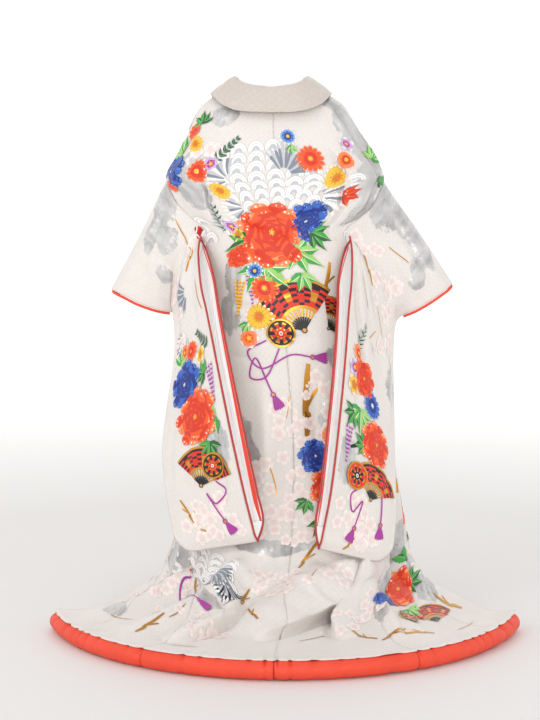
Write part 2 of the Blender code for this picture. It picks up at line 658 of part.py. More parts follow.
def collar(collection):
    """The folded collar in one band from front end to front end."""
    left = [collar_section(*station) for station in collar_stations(LEFT)]
    right = [collar_section(*station) for station in collar_stations(RIGHT)]
    rows = list(reversed(left)) + right[1:]
    nape = right[0]
    return sheet("collar", rows, COLLAR_SATIN, collection, wall=COLLAR_WALL,
                 outward=(nape[6], Vector((0, -1, 0))))


def collar_lining(collection):
    """The white edge that stands just inside the collar round the neck."""
    rows = []
    for side in (LEFT, RIGHT):
        half = []
        for station in collar_stations(side)[:len(BACK_NECK_PARTS) + len(FRONT_NECK_HEIGHTS)]:
            _, stand, fold, _, _, outward = station
            rise = (fold - stand).normalized()
            into_neck = outward * -(LINING_GAP + LINING_WALL)
            half.append([stand + into_neck, fold - rise * FOLD_ROUNDING + into_neck,
                         fold + rise * COLLAR_LINING_SHOWS + into_neck])
        rows = list(reversed(half)) if side == LEFT else rows + half[1:]
    nape = rows[len(rows) // 2]
    return sheet("collar_lining", rows, WHITE_LINING, collection, wall=LINING_WALL,
                 outward=(nape[1], Vector((0, 1, 0))))


def hem_roll(side, piece, start, end, collection):
    """One padded length of the hem's roll."""
    points, radii = [], []
    trim = HALF_SEAM / (HEM_RADIUS * abs(HEM_TIP_ANGLE[side] - HEM_SEAM_ANGLE))
    steps = [0, 0.03] + [i for i in range(1, ROLL_STEPS)] + [ROLL_STEPS - 0.03, ROLL_STEPS]
    for step in steps:
        across = start + trim + (end - start - 2 * trim) * step / ROLL_STEPS
        points.append(HEM_CENTRE + hem_direction(side, across) * HEM_RADIUS + Vector((0, 0, ROLL_AXIS)))
        radii.append(ROLL_RADIUS * (1 - 0.35 * ease(across, 0.96, 1.0)))
    return tube(f"hem_roll_{piece}_{SIDE_NAMES[side]}", points, radii, VERMILION, collection, resolution=4)


def main():
    for obj in list(bpy.data.objects):
        bpy.data.objects.remove(obj)
    robe = bpy.data.collections.new(NAME)
    bpy.context.scene.collection.children.link(robe)
    for side in (LEFT, RIGHT):
        for piece in ("back", "front", "overlap"):
            body_piece(side, piece, robe)
        sleeve_panel(side, "back", robe)
        sleeve_panel(side, "front", robe)
        sleeve_lining(side, robe)
        furi_piping(side, robe)
        cuff_piping(side, robe)
        hem_roll(side, "back", 0.0, SIDE_SEAM, robe)
        hem_roll(side, "front", SIDE_SEAM, 1.0, robe)
    collar(robe)
    collar_lining(robe)


main()
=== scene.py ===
"""Looks of an uchikake: a Japanese wedding over-robe of ivory silk, worn open, its train spread.

Every cloth piece is a thin shell on the form of its solid, in the row's frame: metres, +Z up, the
wearer facing +Y. Heights in the tables are above the floor, which lies WEARER_HEIGHT under the
origin, and the cloth is followed in two directions: across the robe from the centre back seam, and
along it from the neck down to the hem. The woven and stitched motifs are laid out in those cloth
coordinates and then set on the finished cloth.
"""
import math
import random
from collections import namedtuple

import bpy
import numpy as np
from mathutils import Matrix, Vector


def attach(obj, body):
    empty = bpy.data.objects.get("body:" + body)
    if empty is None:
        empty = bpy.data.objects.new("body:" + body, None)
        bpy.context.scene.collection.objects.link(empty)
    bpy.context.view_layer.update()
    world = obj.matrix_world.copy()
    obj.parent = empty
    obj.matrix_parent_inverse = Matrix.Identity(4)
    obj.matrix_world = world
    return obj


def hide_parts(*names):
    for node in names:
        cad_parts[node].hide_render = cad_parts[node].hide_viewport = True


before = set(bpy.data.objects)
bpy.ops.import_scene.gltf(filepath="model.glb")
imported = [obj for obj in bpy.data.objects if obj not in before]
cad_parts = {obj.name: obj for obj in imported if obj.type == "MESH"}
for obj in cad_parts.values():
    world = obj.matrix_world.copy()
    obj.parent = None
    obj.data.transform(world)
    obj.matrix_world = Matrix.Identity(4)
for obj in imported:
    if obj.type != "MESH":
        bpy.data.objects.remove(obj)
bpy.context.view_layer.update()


def rows_of(kind, rows):
    """A table: each row of numbers as a named tuple of its kind."""
    return tuple(kind(*row) for row in rows)


LEFT, RIGHT = -1, 1
SIDE_NAMES = {LEFT: "left", RIGHT: "right"}
BODY_PIECES = ("back", "front", "overlap")

# Driving sizes.
WEARER_HEIGHT = 1.30
WALL = 0.0020
LINING_WALL = 0.0010
COLLAR_WALL = 0.0024
HALF_SEAM = 0.0005
ARMHOLE_GAP = 0.0019
LAY_GAP = 0.0004

# The cut: widths of one half of the robe, across the hem.
BACK_WIDTH = 0.310
FRONT_WIDTH = 0.270
OVERLAP_WIDTH = 0.165
HALF_WIDTH = BACK_WIDTH + FRONT_WIDTH + OVERLAP_WIDTH
SIDE_SEAM = BACK_WIDTH / HALF_WIDTH
OVERLAP_SEAM = (BACK_WIDTH + FRONT_WIDTH) / HALF_WIDTH

# Heights where the robe changes.
NECK = 1.305
SHOULDER_POINT = 1.080
UNDERARM = 0.955
SIDE_SLIT_END = 0.83
OVERLAP_TOP = 0.98
COLLAR_END = 0.54
TRAIN_TOP = 0.45

# The hem lies on the floor in one arc; its padded roll follows it.
HEM_CENTRE = Vector((0.0365, -0.130, 0.0))
HEM_RADIUS = 0.566
HEM_SEAM_ANGLE = math.radians(267.2)
HEM_TIP_ANGLE = {LEFT: math.radians(193.8), RIGHT: math.radians(345.2)}
ROLL_RADIUS = 0.0215
ROLL_AXIS = 0.0225
ROLL_LAP = math.radians(118)

Ring = namedtuple("Ring", "height half_width back front square shift dip")
RINGS = rows_of(Ring, (
    (0.450, 0.222, 0.172, 0.195, 2.3, 0.060, 0.000),
    (0.600, 0.203, 0.168, 0.180, 2.3, 0.046, 0.000),
    (0.780, 0.190, 0.162, 0.165, 2.4, 0.030, 0.000),
    (0.900, 0.200, 0.155, 0.155, 2.4, 0.018, 0.000),
    (0.960, 0.222, 0.150, 0.145, 2.5, 0.014, 0.000),
    (1.010, 0.254, 0.145, 0.138, 2.5, 0.014, 0.000),
    (1.080, 0.270, 0.138, 0.125, 2.4, 0.011, 0.000),
    (1.160, 0.232, 0.130, 0.115, 2.4, 0.012, 0.002),
    (1.210, 0.208, 0.124, 0.105, 2.4, 0.008, 0.008),
    (1.260, 0.180, 0.114, 0.090, 2.3, 0.008, 0.020),
    (1.285, 0.148, 0.102, 0.072, 2.2, 0.006, 0.028),
    (1.305, 0.098, 0.088, 0.050, 2.0, 0.003, 0.034),
))

# Where the pieces end round a ring: the side or armhole edges in degrees from the centre back,
# the overlap's seam and the free front edge as a reach from the middle.
Edges = namedtuple("Edges", "height back_edge front_edge overlap_reach opening_reach")
EDGES = rows_of(Edges, (
    (0.450, 88.0, 88.0, 0.190, 0.110),
    (0.600, 86.0, 86.0, 0.180, 0.112),
    (0.780, 82.0, 82.0, 0.165, 0.108),
    (0.830, 80.0, 80.0, 0.158, 0.108),
    (0.900, 62.0, 74.0, 0.146, 0.110),
    (0.955, 48.0, 76.0, 0.130, 0.112),
    (0.980, 57.0, 96.0, 0.124, 0.112),
    (1.010, 66.0, 106.0, 0.116, 0.114),
    (1.050, 76.0, 103.0, 0.116, 0.114),
    (1.080, 90.0, 90.0, 0.116, 0.114),
    (1.210, 90.0, 90.0, 0.110, 0.108),
    (1.305, 90.0, 90.0, 0.090, 0.088),
))

# Hanging folds of the fronts, by their place across the robe; depth is at TRAIN_TOP.
FrontFold = namedtuple("FrontFold", "across half_span depth start_height")
FRONT_FOLDS = rows_of(FrontFold, (
    (0.455, 0.045, 0.016, 0.80),
    (0.540, 0.045, -0.022, 1.00),
    (0.625, 0.048, 0.020, 1.06),
    (0.715, 0.045, -0.018, 1.05),
    (0.795, 0.042, 0.018, 0.94),
    (0.875, 0.042, -0.018, 0.66),
))

# How each strand of the train leaves the standing part and reaches the hem.
TrainRow = namedtuple("TrainRow", "across flare drop_height reach_in low_height")
TRAIN = {
    LEFT: rows_of(TrainRow, (
        (0.00, 0.000, 0.080, 0.30, 0.018),
        (0.42, 0.040, 0.090, 0.30, 0.018),
        (0.75, 0.140, 0.130, 0.24, 0.016),
        (1.00, 0.190, 0.130, 0.20, 0.014),
    )),
    RIGHT: rows_of(TrainRow, (
        (0.00, 0.000, 0.080, 0.30, 0.018),
        (0.42, 0.070, 0.100, 0.30, 0.018),
        (0.75, 0.160, 0.150, 0.24, 0.016),
        (1.00, 0.200, 0.150, 0.20, 0.014),
    )),
}

# Ridges of the spread train in plan: two ends, half width and height of the fold. Each falls off
# more steeply towards the hem, where it is STEEP_SIDE as wide.
Ridge = namedtuple("Ridge", "start_x start_y end_x end_y half_width height")
RIDGES = rows_of(Ridge, (
    (0.215, -0.230, -0.040, -0.430, 0.062, 0.066),
    (-0.085, -0.270, -0.340, -0.480, 0.056, 0.056),
    (0.240, -0.290, 0.330, -0.480, 0.050, 0.034),
    (-0.240, -0.200, -0.400, -0.290, 0.045, 0.028),
    (0.330, -0.110, 0.500, -0.230, 0.050, 0.022),
))
STEEP_SIDE = 0.60

# The sleeves: both edges of the sheet midway between front and back, from the top fold down.
SleeveRow = namedtuple("SleeveRow", "along inner_reach inner_y inner_z outer_reach outer_y outer_z"
                                    " half_depth")
SLEEVES = {
    LEFT: rows_of(SleeveRow, (
        (0.00, 0.252, 0.000, 1.080, 0.402, 0.000, 0.803, 0.000),
        (0.03, 0.247, -0.005, 1.058, 0.380, 0.000, 0.795, 0.034),
        (0.10, 0.225, -0.025, 1.005, 0.322, -0.005, 0.772, 0.050),
        (0.20, 0.180, -0.095, 0.940, 0.236, -0.020, 0.742, 0.030),
        (0.32, 0.158, -0.150, 0.820, 0.240, -0.045, 0.635, 0.014),
        (0.48, 0.127, -0.190, 0.655, 0.256, -0.070, 0.520, 0.012),
        (0.64, 0.095, -0.215, 0.490, 0.268, -0.090, 0.400, 0.012),
        (0.80, 0.062, -0.235, 0.335, 0.255, -0.125, 0.285, 0.012),
        (0.93, 0.036, -0.252, 0.225, 0.234, -0.165, 0.185, 0.010),
        (0.97, 0.032, -0.256, 0.207, 0.230, -0.178, 0.160, 0.000),
    )),
    RIGHT: rows_of(SleeveRow, (
        (0.00, 0.288, 0.000, 1.080, 0.462, 0.000, 0.818, 0.000),
        (0.03, 0.283, -0.005, 1.058, 0.445, 0.000, 0.806, 0.034),
        (0.10, 0.255, -0.025, 1.005, 0.392, -0.005, 0.775, 0.050),
        (0.20, 0.203, -0.095, 0.940, 0.318, -0.020, 0.728, 0.030),
        (0.32, 0.188, -0.155, 0.820, 0.308, -0.050, 0.620, 0.014),
        (0.48, 0.176, -0.205, 0.655, 0.308, -0.090, 0.500, 0.012),
        (0.64, 0.160, -0.245, 0.490, 0.309, -0.120, 0.385, 0.012),
        (0.80, 0.142, -0.272, 0.335, 0.310, -0.170, 0.275, 0.012),
        (0.93, 0.122, -0.292, 0.218, 0.296, -0.232, 0.172, 0.010),
        (0.97, 0.119, -0.297, 0.198, 0.290, -0.247, 0.148, 0.000),
    )),
}
SLEEVE_ATTACHED = 0.20
CUFF_DEPTH = 0.19
SLEEVE_LENGTH = 0.97
SLEEVE_CORNER = 0.055
SEWN_EDGE = 0.0023
FRONT_PANEL_SHOWS = {LEFT: 0.10, RIGHT: 0.07}
FURI_PIPING = 0.0025
CUFF_PIPING = 0.0034
PIPING_GAP = 0.0011
FURI_TOP = 0.24
LINING_TOP, LINING_BOTTOM = 0.24, 0.93

# The collar, folded in half. Round the neck its fold and the free edge of its turned-down flap are
# set row by row: `place` runs 0 to NECK_SIDE along the back neckline, reaches 1 at the corner of the
# front opening and grows by 1 for each NECK_DROP down it.
CollarRow = namedtuple("CollarRow", "place fold_reach fold_y fold_z flap_reach flap_y flap_z")
NECK_COLLAR = rows_of(CollarRow, (
    (0.00, 0.000, -0.100, 1.302, 0.000, -0.144, 1.238),
    (0.30, 0.046, -0.093, 1.308, 0.066, -0.138, 1.241),
    (0.60, 0.077, -0.064, 1.320, 0.118, -0.100, 1.258),
    (0.90, 0.086, -0.014, 1.334, 0.152, -0.018, 1.292),
    (1.00, 0.085, 0.016, 1.332, 0.151, 0.022, 1.291),
    (1.15, 0.084, 0.046, 1.322, 0.149, 0.054, 1.285),
    (1.50, 0.080, 0.078, 1.286, 0.144, 0.088, 1.252),
    (1.70, 0.077, 0.090, 1.254, 0.141, 0.100, 1.236),
))
NECK_SIDE = 0.90
NECK_DROP = 0.10
# Down the front the flap lies on the cloth; the fold keeps this reach from the middle.
FrontCollar = namedtuple("FrontCollar", "height fold_reach")
FRONT_COLLAR = rows_of(FrontCollar, (
    (0.51, 0.062),
    (0.80, 0.060),
    (1.00, 0.064),
    (1.10, 0.067),
    (1.21, 0.074),
))
BACK_NECK_PARTS = tuple(i / 7 for i in range(8))
FRONT_NECK_HEIGHTS = (1.305, 1.290, 1.268, 1.235)
FRONT_COLLAR_HEIGHTS = (1.19, 1.14, 1.08, 1.01, 0.955, 0.90, 0.83, 0.77, 0.70, 0.62, COLLAR_END)
COLLAR_WIDTH = 0.062
COLLAR_FOLD = 0.0080
FOLD_ROUNDING = 0.0060
COLLAR_LINING_SHOWS = 0.007
FLAP_GAP = 0.0018
LINING_GAP = 0.0018


def smooth(xs, ys, at):
    """Read the soft curve through the points (xs rising) that never overshoots them."""
    xs = np.asarray(xs, float)
    ys = np.asarray(ys, float)
    steps = np.diff(xs)
    secants = np.diff(ys) / steps
    slopes = np.zeros(len(xs))
    slopes[0] = secants[0]
    slopes[-1] = secants[-1]
    for i in range(1, len(xs) - 1):
        if secants[i - 1] * secants[i] > 0:
            slopes[i] = 2 / (1 / secants[i - 1] + 1 / secants[i])
    at = min(max(at, xs[0]), xs[-1])
    i = min(max(int(np.searchsorted(xs, at)) - 1, 0), len(xs) - 2)
    t = (at - xs[i]) / steps[i]
    start = (1 + 2 * t) * (1 - t) ** 2 * ys[i] + t * (1 - t) ** 2 * steps[i] * slopes[i]
    end = t * t * (3 - 2 * t) * ys[i + 1] + t * t * (t - 1) * steps[i] * slopes[i + 1]
    return start + end


def column(rows, name, at):
    """One column of a table, read at a value of its first column."""
    return smooth([row[0] for row in rows], [getattr(row, name) for row in rows], at)


def ease(value, low, high):
    """0 below low, 1 above high, soft in between."""
    t = min(max((value - low) / (high - low), 0.0), 1.0)
    return t * t * (3 - 2 * t)


# ---------------------------------------------------------------- the standing part of the body

RING_SAMPLES = 96
TANGENT_STEP = 0.004
_rings = {}


def ring(height):
    """A ring's curve on one side, centre back to centre front, with its running length."""
    key = round(height, 6)
    if key not in _rings:
        half_width, back, front, square = (column(RINGS, name, height)
                                           for name in ("half_width", "back", "front", "square"))
        angles = np.linspace(0, math.pi, RING_SAMPLES + 1)
        across = half_width * np.abs(np.sin(angles)) ** (2 / square)
        depth = np.abs(np.cos(angles)) ** (2 / square)
        y = np.where(angles < math.pi / 2, -back * depth, front * depth)
        run = np.concatenate(([0.0], np.cumsum(np.hypot(np.diff(across), np.diff(y)))))
        _rings[key] = (angles, across, y, run, half_width, square)
    return _rings[key]


def ring_place(height, at):
    """The ring's point at a running length, and the unit direction out of the ring there."""
    _, xs, ys, run, _, _ = ring(height)
    tangent = Vector((np.interp(at + TANGENT_STEP, run, xs) - np.interp(at - TANGENT_STEP, run, xs),
                      np.interp(at + TANGENT_STEP, run, ys) - np.interp(at - TANGENT_STEP, run, ys), 0))
    tangent.normalize()
    return np.interp(at, run, xs), np.interp(at, run, ys), Vector((tangent.y, -tangent.x, 0))


def reach_angle(height, reach):
    """The angle of the ring's front point that lies `reach` from the middle."""
    half_width, square = ring(height)[4:]
    part = min(reach / half_width, 0.999)
    return math.pi - math.asin(part ** (square / 2))


def piece_edges(piece, height):
    """The ring angles between which a piece of the body runs at a height."""
    overlap = reach_angle(height, column(EDGES, "overlap_reach", height))
    if piece == "back":
        return 0.0, math.radians(column(EDGES, "back_edge", height))
    if piece == "front":
        return math.radians(column(EDGES, "front_edge", height)), overlap
    return overlap, reach_angle(height, column(EDGES, "opening_reach", height))


PIECE_SPAN = {"back": (0.0, SIDE_SEAM), "front": (SIDE_SEAM, OVERLAP_SEAM), "overlap": (OVERLAP_SEAM, 1.0)}


def fold_depth(across, height):
    """How far the front's hanging folds stand out of the ring."""
    total = 0.0
    flat_by_collar = 1 - ease(across, 0.80, 0.93) * ease(height, COLLAR_END - 0.10, COLLAR_END + 0.03)
    for fold in FRONT_FOLDS:
        near = (across - fold.across) / fold.half_span
        if abs(near) < 1:
            grown = 1 - ease(height, TRAIN_TOP, fold.start_height)
            total += fold.depth * math.cos(near * math.pi / 2) ** 2 * grown
    return total * flat_by_collar


def standing_point(side, piece, part, height, inset=0.0):
    """A point of the standing cloth: `part` runs across one piece, 0 to 1, `inset` pulls in its edges."""
    angles, _, _, run, _, _ = ring(height)
    start, end = (np.interp(angle, angles, run) for angle in piece_edges(piece, height))
    at = start + inset + (end - start - 2 * inset) * part
    x, y, outward = ring_place(height, at)
    span_start, span_end = PIECE_SPAN[piece]
    across = span_start + (span_end - span_start) * part
    out = outward * fold_depth(across, height)
    dip = column(RINGS, "dip", height) * max(math.cos(np.interp(at, run, angles)), 0.0)
    shift = column(RINGS, "shift", height)
    return Vector((shift + side * (x + out.x), y + out.y, height - dip))


# ---------------------------------------------------------------- the train

def hem_direction(side, across):
    """From the hem's centre to a place along it, 0 at the centre back seam and 1 at the tip."""
    angle = HEM_SEAM_ANGLE + (HEM_TIP_ANGLE[side] - HEM_SEAM_ANGLE) * across
    return Vector((math.cos(angle), math.sin(angle), 0))


def hem_point(side, across):
    """Where the cloth ends, lapped on the inner shoulder of the padded roll."""
    lap = ROLL_RADIUS + WALL + LAY_GAP
    radial = HEM_RADIUS + lap * math.cos(ROLL_LAP)
    level = ROLL_AXIS + lap * math.sin(ROLL_LAP)
    return HEM_CENTRE + hem_direction(side, across) * radial + Vector((0, 0, level))


def ridge_lift(x, y):
    """Height that the train's ridges add at a place on the floor."""
    lift = 0.0
    for ridge in RIDGES:
        start = Vector((ridge.start_x, ridge.start_y))
        run = Vector((ridge.end_x, ridge.end_y)) - start
        along = (Vector((x, y)) - start).dot(run) / run.length_squared
        held = min(max(along, 0.0), 1.0)
        away = Vector((x, y)) - start - run * held
        to_hem = (Vector((x, y)) - HEM_CENTRE.xy).normalized()
        steep = ease(away.dot(to_hem) / ridge.half_width, -0.3, 0.6)
        away = away.length / (ridge.half_width * (1 - (1 - STEEP_SIDE) * steep))
        lift = max(lift, ridge.height * math.exp(-away * away) * (1 - 0.6 * held))
    return lift


def train_point(side, piece, part, down):
    """A point of the train: `down` runs 0 at TRAIN_TOP to 1 at the hem."""
    span_start, span_end = PIECE_SPAN[piece]
    across = span_start + (span_end - span_start) * part
    flare, drop, reach_in, low = (column(TRAIN[side], name, across)
                                  for name in ("flare", "drop_height", "reach_in", "low_height"))
    start = standing_point(side, piece, part, TRAIN_TOP)
    axis = Vector((column(RINGS, "shift", TRAIN_TOP), 0, 0))
    outward = Vector((start.x - axis.x, start.y, 0)).normalized()
    drop_point = Vector((start.x, start.y, drop)) + outward * flare
    end = hem_point(side, across)
    low_point = end - hem_direction(side, across) * reach_in
    low_point.z = low
    keep = 1 - down
    point = (start * keep ** 3 + drop_point * (3 * keep * keep * down)
             + low_point * (3 * keep * down * down) + end * down ** 3)
    point.z += ridge_lift(point.x, point.y) * ease(down, 0.25, 0.55) * (1 - ease(down, 0.80, 0.97))
    return point


# ---------------------------------------------------------------- the sleeves

def sleeve_sheet(side, in_to_out, along):
    """The sheet midway between a sleeve's two panels."""
    rows = SLEEVES[side]
    inner = Vector([column(rows, name, along) for name in ("inner_reach", "inner_y", "inner_z")])
    outer = Vector([column(rows, name, along) for name in ("outer_reach", "outer_y", "outer_z")])
    point = inner.lerp(outer, in_to_out)
    point.x *= side
    return point


def sleeve_normal(side, in_to_out, along):
    """Unit normal of the sheet on its back face, the one that shows from behind."""
    step = 0.02
    low, high = max(along - step, 0.004), min(along + step, SLEEVE_LENGTH)
    down = sleeve_sheet(side, in_to_out, high) - sleeve_sheet(side, in_to_out, low)
    out = sleeve_sheet(side, in_to_out + step, along) - sleeve_sheet(side, in_to_out - step, along)
    normal = out.cross(down).normalized()
    return normal if normal.y < 0 else -normal


def armhole_point(side, face, part):
    """A point beside the body's armhole edge, 0 at the shoulder point to 1 at the underarm."""
    piece, edge, inner = ("back", 1.0, 0.9) if face == "back" else ("front", 0.0, 0.1)
    place = part * (len(ARMHOLE_HEIGHTS) - 1)
    row = min(int(place), len(ARMHOLE_HEIGHTS) - 2)
    heights = ARMHOLE_HEIGHTS[row:row + 2]
    upper, lower = (standing_point(side, piece, edge, height, HALF_SEAM) for height in heights)
    upper_within, lower_within = (standing_point(side, piece, inner, height, HALF_SEAM)
                                  for height in heights)
    at_edge = upper.lerp(lower, place - row)
    beyond = at_edge - upper_within.lerp(lower_within, place - row)
    return at_edge + beyond.normalized() * ARMHOLE_GAP


def sleeve_point(side, face, in_to_out, along):
    """A point of a sleeve's back or front panel."""
    cut = SLEEVE_CORNER * (1 - math.sqrt(1 - ease(in_to_out, 0.72, 1.0) ** 2))
    along -= cut * ease(along, SLEEVE_LENGTH - 3 * SLEEVE_CORNER, SLEEVE_LENGTH)
    place = in_to_out
    if face == "front":
        shows = ease(along, SLEEVE_ATTACHED, SLEEVE_ATTACHED + 0.12) * (1 - ease(along, 0.88, 0.96))
        place -= FRONT_PANEL_SHOWS[side] * shows * (1 - in_to_out) ** 3
    half_depth = max(column(SLEEVES[side], "half_depth", along), SEWN_EDGE)
    sewn = ease(in_to_out, 0.80, 1.0) * ease(along, CUFF_DEPTH - 0.05, CUFF_DEPTH + 0.03)
    half_depth += (min(half_depth, SEWN_EDGE) - half_depth) * sewn
    facing = 1 if face == "back" else -1
    point = sleeve_sheet(side, place, along) + sleeve_normal(side, in_to_out, along) * (half_depth * facing)
    if along <= SLEEVE_ATTACHED + 0.10:
        part = min(along / SLEEVE_ATTACHED, 1.0)
        root = sleeve_sheet(side, 0.0, along) + sleeve_normal(side, 0.0, along) * (half_depth * facing)
        at_fold = sleeve_normal(side, 0.0, along) * (facing * SEWN_EDGE * (1 - ease(part, 0.0, 0.25)))
        pull = armhole_point(side, face, part) + at_fold - root
        fade = (1 - ease(in_to_out, 0.0, 0.55)) * (1 - ease(along, SLEEVE_ATTACHED, SLEEVE_ATTACHED + 0.10))
        point += pull * fade
    return point


# ---------------------------------------------------------------- the collar

def ring_front(side, height, reach, lift):
    """A point over the front of the ring, `lift` outside it."""
    angles, _, _, run, _, _ = ring(height)
    x, y, outward = ring_place(height, np.interp(reach_angle(height, reach), angles, run))
    x, y = x + outward.x * lift, y + outward.y * lift
    return Vector((column(RINGS, "shift", height) + side * x, y, height))


def collar_stations(side):
    """Seam, fold, flap edge and the middles between them, from the nape down to the front end."""
    stations = []
    shift = column(RINGS, "shift", NECK)
    seams = [(NECK_SIDE * part, standing_point(side, "back", part, NECK)) for part in BACK_NECK_PARTS]
    seams += [(1 + (NECK - height) / NECK_DROP, standing_point(side, "front", 1.0, height, HALF_SEAM))
              for height in FRONT_NECK_HEIGHTS]
    for place, seam in seams:
        fold, flap = (Vector((shift + side * column(NECK_COLLAR, f"{line}_reach", place),
                              column(NECK_COLLAR, f"{line}_y", place),
                              column(NECK_COLLAR, f"{line}_z", place))) for line in ("fold", "flap"))
        seam += (fold - seam).normalized() * (3 * HALF_SEAM)
        rise = (fold - seam).normalized()
        drop = flap - fold
        outward = (drop - rise * drop.dot(rise)).normalized()
        if place > 1:
            height = NECK - (place - 1) * NECK_DROP
            reach = column(NECK_COLLAR, "fold_reach", place)
            facing = ring_front(side, height, reach, WALL) - ring_front(side, height, reach, 0.0)
            outward = outward.lerp(facing.normalized(), ease(place, 1.0, 1.7)).normalized()
        hang = fold.lerp(flap, 0.5) + outward * COLLAR_FOLD
        stations.append((seam, seam.lerp(fold, 0.5), fold, hang, flap, outward))
    flap_lift = COLLAR_WALL + FLAP_GAP
    for height in FRONT_COLLAR_HEIGHTS:
        fold_reach = column(FRONT_COLLAR, "fold_reach", height)
        seam_reach = column(EDGES, "opening_reach", height) - 2 * HALF_SEAM
        fold = ring_front(side, height, fold_reach, -WALL)
        outward = (ring_front(side, height, fold_reach, WALL) - fold).normalized()
        stations.append((
            ring_front(side, height, seam_reach, -WALL),
            ring_front(side, height, (seam_reach + fold_reach) / 2, -WALL),
            fold,
            ring_front(side, height, fold_reach + COLLAR_WIDTH / 2, flap_lift + FLAP_GAP),
            ring_front(side, height, fold_reach + COLLAR_WIDTH, flap_lift),
            outward,
        ))
    return stations


def collar_section(seam, stand, fold, hang, flap, outward):
    """The folded band in section: up the stand, round the fold and down the flap."""
    rise = (fold - stand).normalized()
    over = fold + outward * COLLAR_FOLD
    return [
        seam,
        stand,
        fold - rise * FOLD_ROUNDING,
        fold + outward * (0.2 * COLLAR_FOLD),
        fold + outward * (0.8 * COLLAR_FOLD),
        over + (hang - over).normalized() * FOLD_ROUNDING,
        hang,
        flap,
    ]


# ---------------------------------------------------------------- cloth: control rows and refining

SHOULDER_HEIGHTS = (1.305, 1.290, 1.268, 1.235, 1.19, 1.14)
ARMHOLE_HEIGHTS = (SHOULDER_POINT, 1.05, 1.01, OVERLAP_TOP, UNDERARM)
BODY_HEIGHTS = (0.93, 0.90, 0.865, SIDE_SLIT_END, 0.77, 0.70, 0.62, COLLAR_END)
BODY_ROWS = SHOULDER_HEIGHTS + ARMHOLE_HEIGHTS + BODY_HEIGHTS
OVERLAP_START = BODY_ROWS.index(OVERLAP_TOP)
TRAIN_DOWNS = (0.0, 0.08, 0.16, 0.24, 0.31, 0.38, 0.45, 0.52, 0.59, 0.66, 0.73, 0.80, 0.87, 0.94, 1.0)
CONTROL_COLUMNS = {"back": 8, "front": 20, "overlap": 9}
SLEEVE_ALONGS = (0.012, 0.03, 0.05, 0.10, 0.15, 0.175, 0.20, 0.225, 0.26, 0.31, 0.38, 0.46, 0.55, 0.64,
                 0.73, 0.82, 0.89, 0.935, 0.958)
SLEEVE_COLUMNS = (0.0, 0.10, 0.22, 0.36, 0.50, 0.64, 0.76, 0.86, 0.94, 1.0)
SLEEVE_WIDTH = 0.34
CLOTH_STEP = 0.0065
SHELL = 0.0014
ARMHOLE_TO = 0.440
DOWN_TO_ROW = Vector((0, 0, -WEARER_HEIGHT))
ROLL_LIFT = DOWN_TO_ROW + Vector((0, 0, ROLL_AXIS))


def between(xs, values, at):
    """The smooth curve through rows of values, read at many places."""
    slopes = np.gradient(values, xs, axis=0)
    i = np.clip(np.searchsorted(xs, at) - 1, 0, len(xs) - 2)
    step = (xs[i + 1] - xs[i]).reshape((-1,) + (1,) * (values.ndim - 1))
    t = (at - xs[i]).reshape(step.shape) / step
    return ((1 + 2 * t) * (1 - t) ** 2 * values[i] + t * (1 - t) ** 2 * step * slopes[i]
            + t * t * (3 - 2 * t) * values[i + 1] + t * t * (t - 1) * step * slopes[i + 1])


def smooth_path(corners, steps):
    """A smooth run of points through the corners."""
    corners = np.asarray(corners, float)
    return between(np.arange(len(corners), dtype=float), corners, np.linspace(0, len(corners) - 1, steps))


class Cloth:
    """A grid of cloth: `along` and `across` are metres on the cut, for its rows and its columns."""

    def __init__(self, points, along, across, facing, step=CLOTH_STEP, step_across=None):
        along, across = np.asarray(along, float), np.asarray(across, float)
        self.along = np.linspace(along[0], along[-1], 1 + round(np.ptp(along) / step))
        self.across = np.linspace(across[0], across[-1], 1 + round(np.ptp(across) / (step_across or step)))
        points = between(along, np.asarray(points, float), self.along)
        sign = np.sign(across[-1] - across[0])
        points = between(across * sign, points.transpose(1, 0, 2), self.across * sign)
        self.points = points.transpose(1, 0, 2)
        self.turned = 1
        normals = self.find_normals()
        row, col = len(self.along) // 2, len(self.across) // 2
        if normals[row, col] @ np.asarray(facing(self.points[row, col]), float) < 0:
            self.turned = -1
        self.normals = normals * self.turned

    def find_normals(self):
        """Unit normals of the grid, before they are turned to the side that shows."""
        down = np.gradient(self.points, axis=0)
        out = np.gradient(self.points, axis=1)
        normals = np.cross(out, down)
        lengths = np.linalg.norm(normals, axis=2, keepdims=True)
        return normals / np.maximum(lengths, 1e-9)

    def lift(self, depths):
        """Move the cloth out along its normals, row by row and column by column."""
        self.points = self.points + self.normals * depths[:, :, None]
        self.normals = self.find_normals() * self.turned

    def slide(self, amounts_across, amounts_along):
        """Move the cloth within its own surface, by metres of the cut."""
        down = np.gradient(self.points, self.along, axis=0)
        out = np.gradient(self.points, self.across, axis=1)
        self.points = self.points + out * amounts_across[:, :, None] + down * amounts_along[:, :, None]

    def read(self, across, along):
        """Points and unit normals at places on the cut."""
        sign = 1 if self.across[-1] > self.across[0] else -1
        col = np.interp(across * sign, self.across * sign, np.arange(len(self.across)))
        row = np.interp(along, self.along, np.arange(len(self.along)))
        i = np.clip(row.astype(int), 0, len(self.along) - 2)
        j = np.clip(col.astype(int), 0, len(self.across) - 2)
        t, u = (row - i)[:, None], (col - j)[:, None]

        def mixed(grid):
            upper = grid[i, j] * (1 - u) + grid[i, j + 1] * u
            lower = grid[i + 1, j] * (1 - u) + grid[i + 1, j + 1] * u
            return upper * (1 - t) + lower * t

        normals = mixed(self.normals)
        return mixed(self.points), normals / np.linalg.norm(normals, axis=1, keepdims=True)


